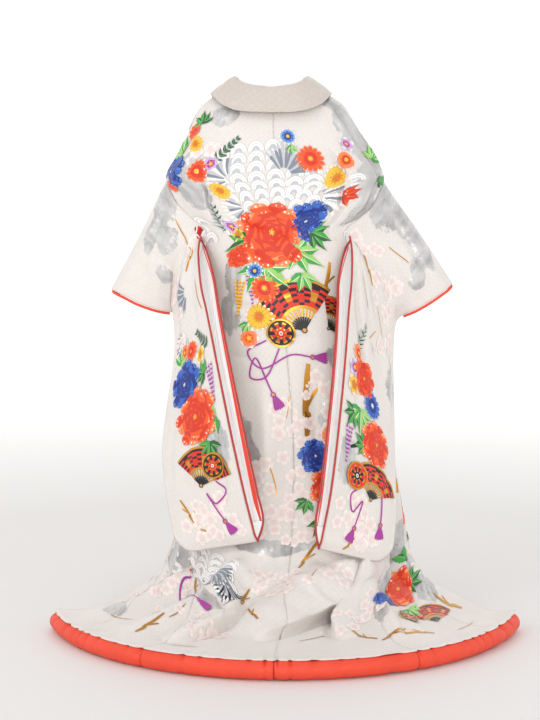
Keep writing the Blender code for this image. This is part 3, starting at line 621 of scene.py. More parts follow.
# Patches of silver foil on the ground, as ellipses on the cut: middle, and reach across and along.
Patch = namedtuple("Patch", "across along wide deep")
BODY_FOIL = rows_of(Patch, (
    (-0.222, 0.300, 0.046, 0.060), (-0.206, 0.240, 0.048, 0.036), (0.240, 0.060, 0.050, 0.050),
    (0.212, 0.120, 0.038, 0.050), (0.245, 0.190, 0.052, 0.050), (0.240, 0.270, 0.054, 0.060),
    (0.272, 0.350, 0.040, 0.060), (-0.152, 0.096, 0.048, 0.034), (-0.150, 0.530, 0.032, 0.066),
    (-0.165, 0.640, 0.036, 0.050),
    (-0.150, 0.930, 0.048, 0.040), (-0.120, 0.975, 0.038, 0.036), (0.150, 0.745, 0.040, 0.034),
    (0.100, 0.900, 0.034, 0.052), (-0.060, 1.212, 0.100, 0.022), (0.080, 1.204, 0.120, 0.020),
    (-0.465, 1.300, 0.052, 0.044), (-0.330, 1.452, 0.060, 0.034), (-0.250, 1.480, 0.060, 0.026),
    (0.345, 1.400, 0.036, 0.080), (0.470, 1.270, 0.080, 0.070), (0.540, 1.360, 0.060, 0.052),
    (0.322, 1.520, 0.030, 0.060), (-0.440, 0.340, 0.070, 0.060), (0.445, 0.330, 0.070, 0.060),
    (-0.620, 0.850, 0.070, 0.056), (0.560, 0.950, 0.080, 0.056), (-0.520, 1.320, 0.060, 0.060),
    (0.600, 1.470, 0.080, 0.060), (-0.640, 1.600, 0.070, 0.040), (-0.360, 0.640, 0.040, 0.060),
))
SLEEVE_FOIL = {
    LEFT: rows_of(Patch, (
        (0.040, 0.050, 0.066, 0.050), (0.120, 0.060, 0.070, 0.034), (0.105, 0.112, 0.044, 0.034),
        (0.205, 0.150, 0.030, 0.030), (0.055, 0.680, 0.044, 0.060), (0.120, 0.640, 0.040, 0.030),
        (0.150, 1.120, 0.100, 0.050), (0.200, 1.560, 0.070, 0.056), (0.200, 1.880, 0.120, 0.036),
    )),
    RIGHT: rows_of(Patch, (
        (0.030, 0.060, 0.070, 0.064), (0.110, 0.040, 0.080, 0.040), (0.196, 0.036, 0.070, 0.034),
        (0.232, 0.084, 0.040, 0.030), (0.262, 0.106, 0.028, 0.026), (0.296, 0.430, 0.044, 0.060),
        (0.055, 0.715, 0.044, 0.066), (0.150, 1.130, 0.100, 0.050), (0.190, 1.540, 0.070, 0.056),
        (0.200, 1.880, 0.120, 0.036),
    )),
}


def foil_field(across, along, patches):
    """1 in the middle of each foil patch, falling to its edge at a half."""
    u, v = np.meshgrid(across, along)
    field = np.zeros_like(u)
    for patch in patches:
        away = ((u - patch.across) / patch.wide) ** 2 + ((v - patch.along) / patch.deep) ** 2
        field = np.maximum(field, np.exp2(-away))
    return field


def add_object(name, data):
    """A new object in the scene."""
    obj = bpy.data.objects.new(name, data)
    bpy.context.scene.collection.objects.link(obj)
    return obj


def set_cut(mesh, metres):
    """Each vertex's place on the cut, in metres, as the mesh's UVs."""
    cut = mesh.uv_layers.new(name="cut")
    corners = np.zeros(len(mesh.loops), int)
    mesh.loops.foreach_get("vertex_index", corners)
    cut.data.foreach_set("uv", metres[corners].ravel())


def set_attribute(mesh, name, values):
    """A number for each vertex, which a material reads by its name."""
    mesh.attributes.new(name, 'FLOAT', 'POINT').data.foreach_set("value", values.ravel())


def quads_of(rows, cols):
    """The vertex numbers of each face of a grid, row by row."""
    index = np.arange(rows * cols).reshape(rows, cols)
    quads = np.stack((index[:-1, :-1], index[:-1, 1:], index[1:, 1:], index[1:, :-1]), axis=2)
    return quads.reshape(-1, 4)


def grid_mesh(name, cloth, slots, slot_of_row=None, extra_faces=(), foil=()):
    """An object on a cloth grid, with its cut's metres as UVs."""
    rows, cols = cloth.points.shape[:2]
    quads = quads_of(rows, cols)
    if cloth.turned < 0:
        quads = quads[:, ::-1]
    faces = quads.tolist() + list(extra_faces)
    mesh = bpy.data.meshes.new(name)
    mesh.from_pydata([tuple(point) for point in cloth.points.reshape(-1, 3)], [], faces)
    for material in slots:
        mesh.materials.append(material)
    if slot_of_row is not None:
        chosen = np.zeros(len(faces), int)
        chosen[:len(quads)] = np.repeat([slot_of_row(along) for along in cloth.along[:-1]], cols - 1)
        mesh.polygons.foreach_set("material_index", chosen)
    if foil:
        set_attribute(mesh, "foil", foil_field(cloth.across, cloth.along, foil))
    set_cut(mesh, np.stack((np.tile(cloth.across, rows), np.repeat(cloth.along, cols)), axis=1))
    mesh.shade_smooth()
    return add_object(name, mesh)


def thicken(obj, thickness, inner_slots):
    """Give a sheet its lining: the inner face takes the material `inner_slots` further down the list."""
    thick = obj.modifiers.new("lined", 'SOLIDIFY')
    thick.thickness = thickness
    thick.offset = -1
    thick.material_offset = inner_slots
    thick.material_offset_rim = 0


# ---------------------------------------------------------------- creases

# Soft troughs (depth below 0) and ridges of the cloth. Places are metres on the cut,
# `across` growing to the right from the centre back seam on the body and from the body to the cuff
# on a sleeve; `along` grows downwards. `spread` is how far a crease reaches to either side of its line.
Crease = namedtuple("Crease", "across along to_across to_along spread depth")
BODY_CREASES = rows_of(Crease, (
    (-0.245, 0.075, -0.095, 0.165, 0.016, -0.0032),
    (-0.230, 0.150, -0.110, 0.205, 0.013, 0.0024),
    (0.180, 0.080, 0.256, 0.330, 0.011, 0.0040),
    (0.206, 0.085, 0.290, 0.340, 0.009, -0.0048),
    (0.228, 0.060, 0.304, 0.290, 0.010, 0.0044),
    (-0.192, 0.130, -0.262, 0.330, 0.012, 0.0034),
    (-0.225, 0.110, -0.300, 0.310, 0.010, -0.0036),
    (-0.120, 0.325, 0.015, 0.352, 0.010, -0.0028),
    (0.020, 0.368, 0.150, 0.340, 0.011, -0.0030),
    (-0.150, 0.398, -0.030, 0.421, 0.010, -0.0030),
    (-0.015, 0.442, 0.112, 0.432, 0.009, -0.0034),
    (-0.160, 0.472, -0.060, 0.492, 0.010, -0.0026),
    (0.040, 0.505, 0.170, 0.486, 0.010, -0.0028),
    (-0.110, 0.540, 0.010, 0.552, 0.009, -0.0030),
    (-0.018, 0.596, 0.140, 0.577, 0.010, -0.0028),
    (-0.180, 0.610, -0.055, 0.632, 0.011, -0.0026),
    (-0.060, 0.690, 0.080, 0.702, 0.010, -0.0026),
    (-0.210, 0.735, -0.090, 0.750, 0.011, -0.0024),
    (0.070, 0.745, 0.200, 0.730, 0.011, -0.0026),
    (-0.050, 0.800, -0.090, 1.120, 0.026, 0.0060),
    (0.055, 0.780, 0.080, 1.100, 0.024, -0.0050),
    (0.150, 0.820, 0.190, 1.180, 0.026, 0.0064),
    (-0.190, 0.860, -0.230, 1.220, 0.026, -0.0056),
    (-0.290, 0.900, -0.330, 1.260, 0.024, 0.0052),
    (0.270, 0.900, 0.320, 1.250, 0.024, -0.0054),
    (-0.020, 1.200, -0.260, 1.420, 0.022, -0.0058),
    (-0.010, 1.270, -0.190, 1.430, 0.015, 0.0048),
    (0.060, 1.240, 0.220, 1.380, 0.020, -0.0054),
    (0.020, 1.330, 0.120, 1.450, 0.014, 0.0044),
    (0.260, 1.240, 0.400, 1.420, 0.022, 0.0056),
    (-0.330, 1.250, -0.470, 1.440, 0.022, 0.0056),
    (-0.400, 1.300, -0.520, 1.500, 0.018, -0.0050),
    (0.380, 1.280, 0.500, 1.480, 0.018, -0.0050),
    (-0.560, 0.950, -0.600, 1.300, 0.022, 0.0050),
    (0.570, 0.930, 0.610, 1.320, 0.022, 0.0050),
    (-0.440, 0.420, -0.520, 0.600, 0.016, -0.0030),
    (0.430, 0.430, 0.530, 0.620, 0.016, -0.0030),
    (-0.400, 0.120, -0.500, 0.240, 0.016, 0.0026),
    (0.410, 0.130, 0.490, 0.260, 0.016, 0.0026),
    (-0.640, 0.700, -0.560, 0.840, 0.014, -0.0026),
    (0.650, 0.720, 0.560, 0.850, 0.014, -0.0026),
))
SLEEVE_CREASES = {
    LEFT: rows_of(Crease, (
        (0.030, 0.060, 0.300, 0.075, 0.014, -0.0034),
        (0.060, 0.110, 0.290, 0.150, 0.013, 0.0030),
        (0.110, 0.160, 0.260, 0.205, 0.012, -0.0036),
        (0.040, 0.230, 0.190, 0.300, 0.014, 0.0030),
        (0.080, 0.330, 0.120, 0.560, 0.018, -0.0026),
        (0.230, 0.300, 0.250, 0.500, 0.016, 0.0030),
        (0.150, 0.600, 0.190, 0.820, 0.018, 0.0026),
        (0.270, 0.560, 0.300, 0.760, 0.014, -0.0028),
        (0.060, 0.700, 0.090, 0.880, 0.014, -0.0022),
    )),
    RIGHT: rows_of(Crease, (
        (0.020, 0.080, 0.280, 0.060, 0.014, -0.0034),
        (0.060, 0.135, 0.300, 0.120, 0.012, 0.0028),
        (0.100, 0.190, 0.250, 0.225, 0.012, -0.0034),
        (0.050, 0.250, 0.180, 0.330, 0.014, 0.0028),
        (0.110, 0.350, 0.080, 0.590, 0.017, -0.0026),
        (0.250, 0.320, 0.280, 0.540, 0.016, 0.0030),
        (0.180, 0.620, 0.150, 0.800, 0.018, 0.0024),
        (0.290, 0.580, 0.270, 0.790, 0.013, -0.0028),
    )),
}


CREASE_STRENGTH = 2.1
CREASE_ENDS = 0.12
CREASE_SWAY = 0.35
SWAY_TURNS = 5.1
SWAY_SHIFT = 40


def crease_depths(across, along, creases):
    """How far the creases move the cloth at each place of a grid."""
    u, v = np.meshgrid(across, along)
    total = np.zeros_like(u)
    for crease in creases:
        run = np.array((crease.to_across - crease.across, crease.to_along - crease.along))
        length = np.hypot(*run)
        du, dv = u - crease.across, v - crease.along
        t = (du * run[0] + dv * run[1]) / length ** 2
        held = np.clip(t, 0, 1)
        sway = CREASE_SWAY * crease.spread * np.sin(held * SWAY_TURNS + SWAY_SHIFT * crease.across)
        away = (du * -run[1] + dv * run[0]) / length + sway
        beyond = (t - held) * length
        taper = np.sin(np.pi * (CREASE_ENDS + (1 - 2 * CREASE_ENDS) * held))
        total += crease.depth * taper * np.exp(-(away ** 2 + beyond ** 2) / crease.spread ** 2)
    return total * CREASE_STRENGTH


# Large laid folds: the cloth rises gently to the line, leans over it by `lean` and drops steeply into
# a hollow, which is to the right of the line's run for someone who looks at the robe from outside.
Fold = namedtuple("Fold", "path height gentle steep hollow lean")
TRAIN_FOLDS = rows_of(Fold, (
    (((-0.085, 1.590), (-0.006, 1.530), (0.084, 1.463), (0.129, 1.420), (0.170, 1.370), (0.196, 1.300)),
     0.045, 0.055, 0.014, 0.020, 0.036),
    (((-0.330, 1.690), (-0.262, 1.600), (-0.200, 1.520), (-0.158, 1.461), (-0.130, 1.390)),
     0.040, 0.050, 0.013, 0.018, 0.028),
    (((0.240, 1.270), (0.212, 1.360), (0.184, 1.450), (0.166, 1.530), (0.190, 1.610)),
     0.036, 0.060, 0.013, 0.012, 0.024),
    (((0.330, 1.680), (0.350, 1.590), (0.335, 1.480)), 0.012, 0.045, 0.014, 0.004, 0.006),
))
SHOULDER_FOLDS = rows_of(Fold, (
    (((0.135, 0.170), (0.168, 0.250), (0.208, 0.345), (0.236, 0.455)),
     0.015, 0.040, 0.006, 0.006, 0.011),
    (((-0.240, 0.450), (-0.214, 0.360), (-0.178, 0.280), (-0.150, 0.215)),
     0.010, 0.035, 0.006, 0.005, 0.008),
))
SLEEVE_FOLDS = {
    LEFT: (Fold(((0.215, 0.380), (0.170, 0.310), (0.134, 0.268), (0.110, 0.215), (0.060, 0.160)),
                0.014, 0.045, 0.007, 0.006, 0.011),),
    RIGHT: (Fold(((0.010, 0.240), (0.034, 0.300), (0.060, 0.350), (0.094, 0.405), (0.140, 0.480)),
                 0.014, 0.045, 0.007, 0.006, 0.011),),
}
FOLD_POINTS = 60
FOLD_TAPER = 0.7
HOLLOW_AT = 2
HOLLOW_REACH = 1.3
LEAN_REACH = 1.6
FLOOR_CLEARANCE = 0.005


def fold_moves(across, along, folds):
    """How far the folds lift each place of a grid, and how far they slide it across and along."""
    u, v = np.meshgrid(across, along)
    lift, slide_u, slide_v = np.zeros_like(u), np.zeros_like(u), np.zeros_like(u)
    for fold in folds:
        path = smooth_path(fold.path, FOLD_POINTS)
        ahead = np.gradient(path, axis=0)
        ahead /= np.linalg.norm(ahead, axis=1, keepdims=True)
        offsets = np.stack((u, v), axis=2)[:, :, None] - path
        nearest = np.argmin((offsets ** 2).sum(axis=3), axis=2)
        offset = np.take_along_axis(offsets, nearest[:, :, None, None], axis=2)[:, :, 0]
        run = ahead[nearest]
        away = run[..., 0] * offset[..., 1] - run[..., 1] * offset[..., 0]
        past = np.abs((run * offset).sum(axis=2))
        taper = np.sin(np.pi * nearest / (FOLD_POINTS - 1)) ** FOLD_TAPER
        taper *= np.exp(-(past / fold.gentle) ** 2)
        over = np.exp(-(away / np.where(away < 0, fold.gentle, fold.steep)) ** 2)
        under = np.exp(-((away - HOLLOW_AT * fold.steep) / (HOLLOW_REACH * fold.steep)) ** 2)
        lift += taper * (fold.height * over - fold.hollow * under)
        lean_reach = np.where(away < 0, LEAN_REACH * fold.steep, fold.steep)
        lean = taper * fold.lean * np.exp(-(away / lean_reach) ** 2)
        slide_u -= run[..., 1] * lean
        slide_v += run[..., 0] * lean
    return lift, slide_u, slide_v


# The hem's gathers: narrow, unevenly spaced tucks where the robe's cloth is sewn over the roll.
TUCK_PITCH = 0.048
TUCK_SWAY = 3.4
TUCK_RIPPLE = 1.9
LEAST_TUCK = 0.30
TUCK_DEPTH = 0.0046
TUCK_CENTRE = 0.020
TUCK_REACH = 0.020
LAP_LENGTH = 0.020
LAP_ROWS = 5
LAP_SCALLOP = 0.50


def tucks(run):
    """1 in the middle of a tuck, 0 between them, at metres along the hem."""
    uneven = TUCK_SWAY * np.sin(run * 13.0) + TUCK_RIPPLE * np.sin(run * 37.0)
    wave = np.sin(2 * np.pi * run / TUCK_PITCH + uneven)
    size = (1 + LEAST_TUCK) / 2 + (1 - LEAST_TUCK) / 2 * np.sin(run * 23.0 + 1.0)
    return size * np.clip(wave, 0, 1) ** 3


def lap_over_roll(cloth, hem_run):
    """Rows of cloth added at the hem, round the top of its roll, scalloped between the tucks."""
    axis = np.array(HEM_CENTRE + ROLL_LIFT)
    end = cloth.points[-1] - axis
    out = np.hypot(end[:, 0], end[:, 1])
    radius = np.hypot(out - HEM_RADIUS, end[:, 2])
    angle = np.arctan2(end[:, 2], out - HEM_RADIUS)
    reach = LAP_LENGTH * (1 - LAP_SCALLOP * tucks(hem_run))
    rows = []
    for part in np.arange(1, LAP_ROWS + 1) / LAP_ROWS:
        turned = angle - part * reach / radius
        radial = (HEM_RADIUS + radius * np.cos(turned)) / out
        rows.append(np.stack((axis[0] + end[:, 0] * radial, axis[1] + end[:, 1] * radial,
                              axis[2] + radius * np.sin(turned)), axis=1))
    more = cloth.along[-1] + LAP_LENGTH * np.arange(1, LAP_ROWS + 1) / LAP_ROWS
    cloth.points = np.concatenate((cloth.points, rows))
    cloth.along = np.concatenate((cloth.along, more))
    cloth.normals = cloth.find_normals() * cloth.turned


FACING_START = 1.15
SEAM_PULL = 0.0006
SEAM_SPREAD = 0.007
PUCKER = 0.0007
PUCKER_PITCH = 0.023


def seam_depths(across, along, seams):
    """A shallow valley, lightly puckered, along each seam that runs down the cloth."""
    u, v = np.meshgrid(across, along)
    total = np.zeros_like(u)
    for seam in seams:
        close = np.exp(-((u - seam) / SEAM_SPREAD) ** 2)
        uneven = np.sin(v * 2 * math.pi / PUCKER_PITCH + 3 * np.sin(v * 17 + seam * 9))
        total += close * (PUCKER * uneven - SEAM_PULL)
    return total


# ---------------------------------------------------------------- the body panels

def body_control(side, piece):
    """Rows of points of one panel, neck to hem, and its columns' places on the cut."""
    parts = np.linspace(0, 1, CONTROL_COLUMNS[piece] + 1)
    heights = BODY_ROWS[OVERLAP_START:] if piece == "overlap" else BODY_ROWS
    rows = [[standing_point(side, piece, part, height) for part in parts] for height in heights]
    rows += [[train_point(side, piece, part, down) for part in parts] for down in TRAIN_DOWNS[1:]]
    span = PIECE_SPAN[piece]
    across = side * HALF_WIDTH * (span[0] + (span[1] - span[0]) * parts)
    return np.array(rows), across


def body_alongs():
    """How far down the cloth each control row lies, measured on the right back panel and front."""
    lengths = []
    for piece in ("back", "front"):
        rows = body_control(RIGHT, piece)[0]
        steps = np.linalg.norm(np.diff(rows[:, 1:-1], axis=0), axis=2).mean(axis=1)
        lengths.append(np.concatenate(([0.0], np.cumsum(steps))))
    return (lengths[0] + lengths[1]) / 2


EDGE_CALM = 0.02
CALM_ABOVE_HEM = 0.05
CALM_FADE = 0.04
SEAM_FADE = 0.03


def body_cloth(side, piece, alongs):
    """One panel with its creases, folds, seams and hem tucks, lapped over the roll."""
    points, across = body_control(side, piece)
    points += np.array(DOWN_TO_ROW)
    centre = column(RINGS, "shift", TRAIN_TOP)
    start = OVERLAP_START if piece == "overlap" else 0
    cloth = Cloth(points, alongs[start:], across, lambda point: (point[0] - centre, point[1], 0))
    free_edge = side * HALF_WIDTH
    middle, side_seam, overlap_seam = (side * HALF_WIDTH * place for place in (0.0, SIDE_SEAM, OVERLAP_SEAM))
    calm = 1 - np.exp(-((cloth.across - free_edge) / EDGE_CALM) ** 2)
    lap = 1 - np.clip((cloth.along - (alongs[-1] - CALM_ABOVE_HEM)) / CALM_FADE, 0, 1)
    depths = crease_depths(cloth.across, cloth.along, BODY_CREASES) * calm[None, :] * lap[:, None]
    depths += seam_depths(cloth.across, cloth.along, (middle, overlap_seam)) * lap[:, None]
    below_armhole = np.clip((cloth.along - ARMHOLE_TO) / SEAM_FADE, 0, 1) * lap
    depths += seam_depths(cloth.across, cloth.along, (side_seam,)) * below_armhole[:, None]
    lifted, aside, down = fold_moves(cloth.across, cloth.along, TRAIN_FOLDS + SHOULDER_FOLDS)
    hem_run = cloth.across * HEM_RADIUS * abs(HEM_TIP_ANGLE[side] - HEM_SEAM_ANGLE) / HALF_WIDTH
    near_hem = np.exp(-((alongs[-1] - TUCK_CENTRE - cloth.along) / TUCK_REACH) ** 2)
    depths -= TUCK_DEPTH * near_hem[:, None] * tucks(hem_run)[None, :]
    cloth.slide(aside * lap[:, None] * calm, down * lap[:, None] * calm)
    cloth.lift(depths + lifted * lap[:, None] * calm)
    cloth.points[:, :, 2] = np.maximum(cloth.points[:, :, 2], FLOOR_CLEARANCE - WEARER_HEIGHT)
    lap_over_roll(cloth, hem_run)
    return cloth


# ---------------------------------------------------------------- the sleeves

MEET_TO = 0.215
MEET_FADE = 0.03
MEET_SPREAD = 0.03
EDGE_FINENESS = 8
FOLD_CALM = 0.05
INNER_CALM = 0.02
OUTER_CALM = 0.03


def meet_armhole(half, edge):
    """Draw a sleeve's inner column onto the body's armhole edge, where the two are sewn."""
    fine = smooth_path(edge, EDGE_FINENESS * len(edge))
    inner = half.points[:, 0]
    nearest = np.linalg.norm(fine[None] - inner[:, None], axis=2).argmin(axis=1)
    reach = np.minimum(half.along, 2 * SLEEVE_LENGTH - half.along)
    sewn = np.clip((MEET_TO - reach) / MEET_FADE, 0, 1)[:, None]
    share = np.exp(-(half.across / MEET_SPREAD) ** 2)
    half.points = half.points + ((fine[nearest] - inner) * sewn)[:, None] * share[None, :, None]
    half.normals = half.find_normals() * half.turned


def sleeve_cloth(side, body_cloths):
    """The whole bag: down the back panel, under the bottom and up the front panel."""
    back = list(SLEEVE_ALONGS)
    alongs = [0.0] + back + [SLEEVE_LENGTH]
    alongs += [2 * SLEEVE_LENGTH - along for along in reversed(back)] + [2 * SLEEVE_LENGTH]
    columns = []
    for place in SLEEVE_COLUMNS:
        top = sleeve_point(side, "back", place, 0.0).lerp(sleeve_point(side, "front", place, 0.0), 0.5)
        low = sleeve_point(side, "back", place, SLEEVE_LENGTH)
        low = low.lerp(sleeve_point(side, "front", place, SLEEVE_LENGTH), 0.5)
        loop = [top] + [sleeve_point(side, "back", place, along) for along in back] + [low]
        loop += [sleeve_point(side, "front", place, along) for along in reversed(back)] + [top]
        columns.append([point + DOWN_TO_ROW for point in loop])
    points = np.array(columns).transpose(1, 0, 2)
    across = np.array(SLEEVE_COLUMNS) * SLEEVE_WIDTH
    cloth = Cloth(points[:len(back) + 2], alongs[:len(back) + 2], across, lambda point: (0, -1, 0))
    other = Cloth(points[len(back) + 1:], alongs[len(back) + 1:], across, lambda point: (0, 1, 0))
    for half in (cloth, other):
        reach = np.minimum(half.along, 2 * SLEEVE_LENGTH - half.along)
        depths = crease_depths(half.across, reach, SLEEVE_CREASES[side])
        folded = np.clip(reach / FOLD_CALM, 0, 1) * np.clip((SLEEVE_LENGTH - reach) / FOLD_CALM, 0, 1)
        inner = np.exp(-(half.across / INNER_CALM) ** 2)
        outer = np.exp(-((half.across - SLEEVE_WIDTH) / OUTER_CALM) ** 2)
        held = folded[:, None] * (1 - inner - outer)[None, :]
        if half is cloth:
            lifted, aside, down = fold_moves(half.across, half.along, SLEEVE_FOLDS[side])
            half.slide(aside * held, down * held)
            depths += lifted
        half.lift(depths * held)
    meet_armhole(cloth, body_cloths[side, "back"].points[:, -1])
    meet_armhole(other, body_cloths[side, "front"].points[:, 0])
    return cloth, other


def joined(first, second):
    """Two halves of a bag's loop, the second starting on the row where the first ends."""
    whole = object.__new__(Cloth)
    whole.along = np.concatenate((first.along, second.along[1:]))
    whole.across = first.across
    whole.points = np.concatenate((first.points, second.points[1:]))
    whole.points[len(first.along) - 1] = (first.points[-1] + second.points[0]) / 2
    whole.points[-1] = whole.points[0]
    whole.turned = first.turned
    whole.normals = whole.find_normals() * whole.turned
    return whole


def sleeve_closing(cloth):
    """Faces that close the outer edge below the cuff, from the back panel to the front one."""
    rows, cols = cloth.points.shape[:2]
    middle = (rows - 1) // 2
    first = int(np.searchsorted(cloth.along, CUFF_DEPTH))
    faces = []
    for row in range(first, middle):
        back = (row * cols + cols - 1, (row + 1) * cols + cols - 1)
        front = ((rows - 1 - row) * cols + cols - 1, (rows - 2 - row) * cols + cols - 1)
        loop = [*back, front[1], front[0]] if row < middle - 1 else [*back, front[0]]
        faces.append(tuple(loop if cloth.turned < 0 else reversed(loop)))
    return faces


# ---------------------------------------------------------------- collar, pipings and hem roll

COLLAR_STEP = 0.0032
COLLAR_STEP_ALONG = 1.6 * COLLAR_STEP
COLLAR_CREASES = rows_of(Crease, (
    (0.085, -0.300, 0.125, -0.240, 0.010, -0.0016),
    (0.075, -0.175, 0.118, -0.140, 0.009, -0.0015),
    (0.080, -0.060, 0.120, -0.075, 0.009, -0.0014),
    (0.078, 0.050, 0.122, 0.030, 0.009, -0.0015),
    (0.080, 0.160, 0.118, 0.120, 0.009, -0.0016),
    (0.085, 0.290, 0.125, 0.250, 0.010, -0.0016),
    (0.085, -0.560, 0.120, -0.620, 0.012, -0.0014),
    (0.085, 0.540, 0.120, 0.600, 0.012, -0.0014),
    (0.085, -0.790, 0.120, -0.740, 0.012, -0.0014),
    (0.085, 0.800, 0.120, 0.760, 0.012, -0.0014),
))


def spans(points):
    """Running length along the mean of a grid's columns."""
    steps = np.linalg.norm(np.diff(points, axis=0), axis=2).mean(axis=1)
    return np.concatenate(([0.0], np.cumsum(steps)))


def collar_cloth():
    """The folded collar, from its left front end round the neck to its right one."""
    left = [collar_section(*station) for station in collar_stations(LEFT)]
    right = [collar_section(*station) for station in collar_stations(RIGHT)]
    points = np.array(list(reversed(left)) + right[1:]) + np.array(DOWN_TO_ROW)
    along = spans(points)
    along -= along[len(left) - 1]
    across = spans(points.transpose(1, 0, 2))
    cloth = Cloth(points, along, across, lambda point: (0, -1, 0), COLLAR_STEP_ALONG, COLLAR_STEP)
    cloth.lift(crease_depths(cloth.across, cloth.along, COLLAR_CREASES))
    return cloth


def collar_edge_cloth():
    """The white edge that stands just inside the collar round the neck."""
    halves = []
    for side in (LEFT, RIGHT):
        half = []
        for station in collar_stations(side)[:len(BACK_NECK_PARTS) + len(FRONT_NECK_HEIGHTS)]:
            _, stand, fold, _, _, outward = station
            rise = (fold - stand).normalized()
            into_neck = outward * -(LINING_GAP + LINING_WALL)
            half.append([stand + into_neck, fold - rise * FOLD_ROUNDING + into_neck,
                         fold + rise * COLLAR_LINING_SHOWS + into_neck])
        halves.append(half)
    points = np.array(list(reversed(halves[0])) + halves[1][1:]) + np.array(DOWN_TO_ROW)
    across = spans(points.transpose(1, 0, 2))
    return Cloth(points, spans(points), across, lambda point: (0, 1, 0), COLLAR_STEP)


def sleeve_lining_cloth(side):
    """The white lining just inside the front panel's inner edge."""
    deep = WALL + LAY_GAP
    alongs = [along for along in SLEEVE_ALONGS if LINING_TOP < along < LINING_BOTTOM]
    rows = [[sleeve_point(side, "front", place, along) + sleeve_normal(side, place, along) * deep
             + DOWN_TO_ROW for place in SLEEVE_COLUMNS[:4]] for along in alongs]
    return Cloth(rows, alongs, np.array(SLEEVE_COLUMNS[:4]) * SLEEVE_WIDTH, lambda point: (0, -1, 0))


def ring_faces(rings, sides):
    """The faces between closed rings of vertices, one ring after the other."""
    first = [(j, (j + 1) % sides, (j + 1) % sides + sides, j + sides) for j in range(sides)]
    return [tuple(i * sides + corner for corner in face) for i in range(rings - 1) for face in first]


SMOOTH_UP_TO = math.radians(60)


def tube_mesh(name, path, radii, sides, material):
    """A round tube along a path, its rings kept upright to the path."""
    path = np.asarray(path, float)
    ahead = np.gradient(path, axis=0)
    ahead /= np.linalg.norm(ahead, axis=1, keepdims=True)
    up = np.zeros_like(path)
    start = np.array((0, 0, 1.0)) if abs(ahead[0, 2]) < 0.9 else np.array((0, 1.0, 0))
    for i, direction in enumerate(ahead):
        guide = start if i == 0 else up[i - 1]
        across = guide - direction * (guide @ direction)
        up[i] = across / np.linalg.norm(across)
    aside = np.cross(ahead, up)
    angles = np.arange(sides) * 2 * math.pi / sides
    radii = np.broadcast_to(np.asarray(radii, float), (len(path), sides))
    rings = (path[:, None] + up[:, None] * (np.cos(angles) * radii)[:, :, None]
             + aside[:, None] * (np.sin(angles) * radii)[:, :, None])
    faces = ring_faces(len(path), sides)
    faces.append(tuple(reversed(range(sides))))
    faces.append(tuple((len(path) - 1) * sides + j for j in range(sides)))
    mesh = bpy.data.meshes.new(name)
    mesh.from_pydata([tuple(point) for point in rings.reshape(-1, 3)], [], faces)
    mesh.materials.append(material)
    run = np.concatenate(([0.0], np.cumsum(np.linalg.norm(np.diff(path, axis=0), axis=1))))
    girth = np.tile(angles * float(np.mean(radii)), len(path))
    set_cut(mesh, np.stack((girth, np.repeat(run, sides)), axis=1))
    mesh.shade_smooth()
    mesh.set_sharp_from_angle(angle=SMOOTH_UP_TO)
    return add_object(name, mesh)


PIPING_STEP = 0.012
PIPING_SIDES = 8
CUFF_PIPING_SHORT = 0.012


def edge_path(cloth, col, within, radius, alongs):
    """The axis of a piping along one edge column of the sleeve's bag."""
    path = []
    for along in alongs:
        row = int(np.argmin(np.abs(cloth.along - along)))
        edge, inner = cloth.points[row, col], cloth.points[row, within]
        beyond = (edge - inner) / np.linalg.norm(edge - inner)
        path.append(edge + beyond * (radius + PIPING_GAP) - cloth.normals[row, col] * (SHELL / 2))
    return path


def furi_piping(bag, side, material):
    """The red roll of the sleeve's long inner edge, from one panel round the bottom to the other."""
    alongs = np.arange(FURI_TOP, 2 * SLEEVE_LENGTH - FURI_TOP, PIPING_STEP)
    path = edge_path(bag, 0, 3, FURI_PIPING, alongs)
    return tube_mesh(f"furi_roll_{SIDE_NAMES[side]}", path, FURI_PIPING, PIPING_SIDES, material)


def cuff_piping(bag, side, material):
    """The red roll round the cuff."""
    reach = CUFF_DEPTH - CUFF_PIPING_SHORT
    last = bag.points.shape[1] - 1
    back = edge_path(bag, last, last - 2, CUFF_PIPING, np.arange(reach, 0, -PIPING_STEP))
    front = edge_path(bag, last, last - 2, CUFF_PIPING,
                      2 * SLEEVE_LENGTH - np.arange(PIPING_STEP / 2, reach, PIPING_STEP))
    return tube_mesh(f"cuff_roll_{SIDE_NAMES[side]}", back + front, CUFF_PIPING, PIPING_SIDES, material)


ROLL_SIDES = 28
ROLL_PITCH = 0.0032
GATHER_DEPTH = 0.24
GATHER_ALL_ROUND = 0.35
LAP_SPREAD = math.radians(34)
WRINKLE = 0.018
END_ROUNDING = 0.005
END_PINCH = 0.84
TIP_THINS = 0.35
TIP_FROM = 0.96


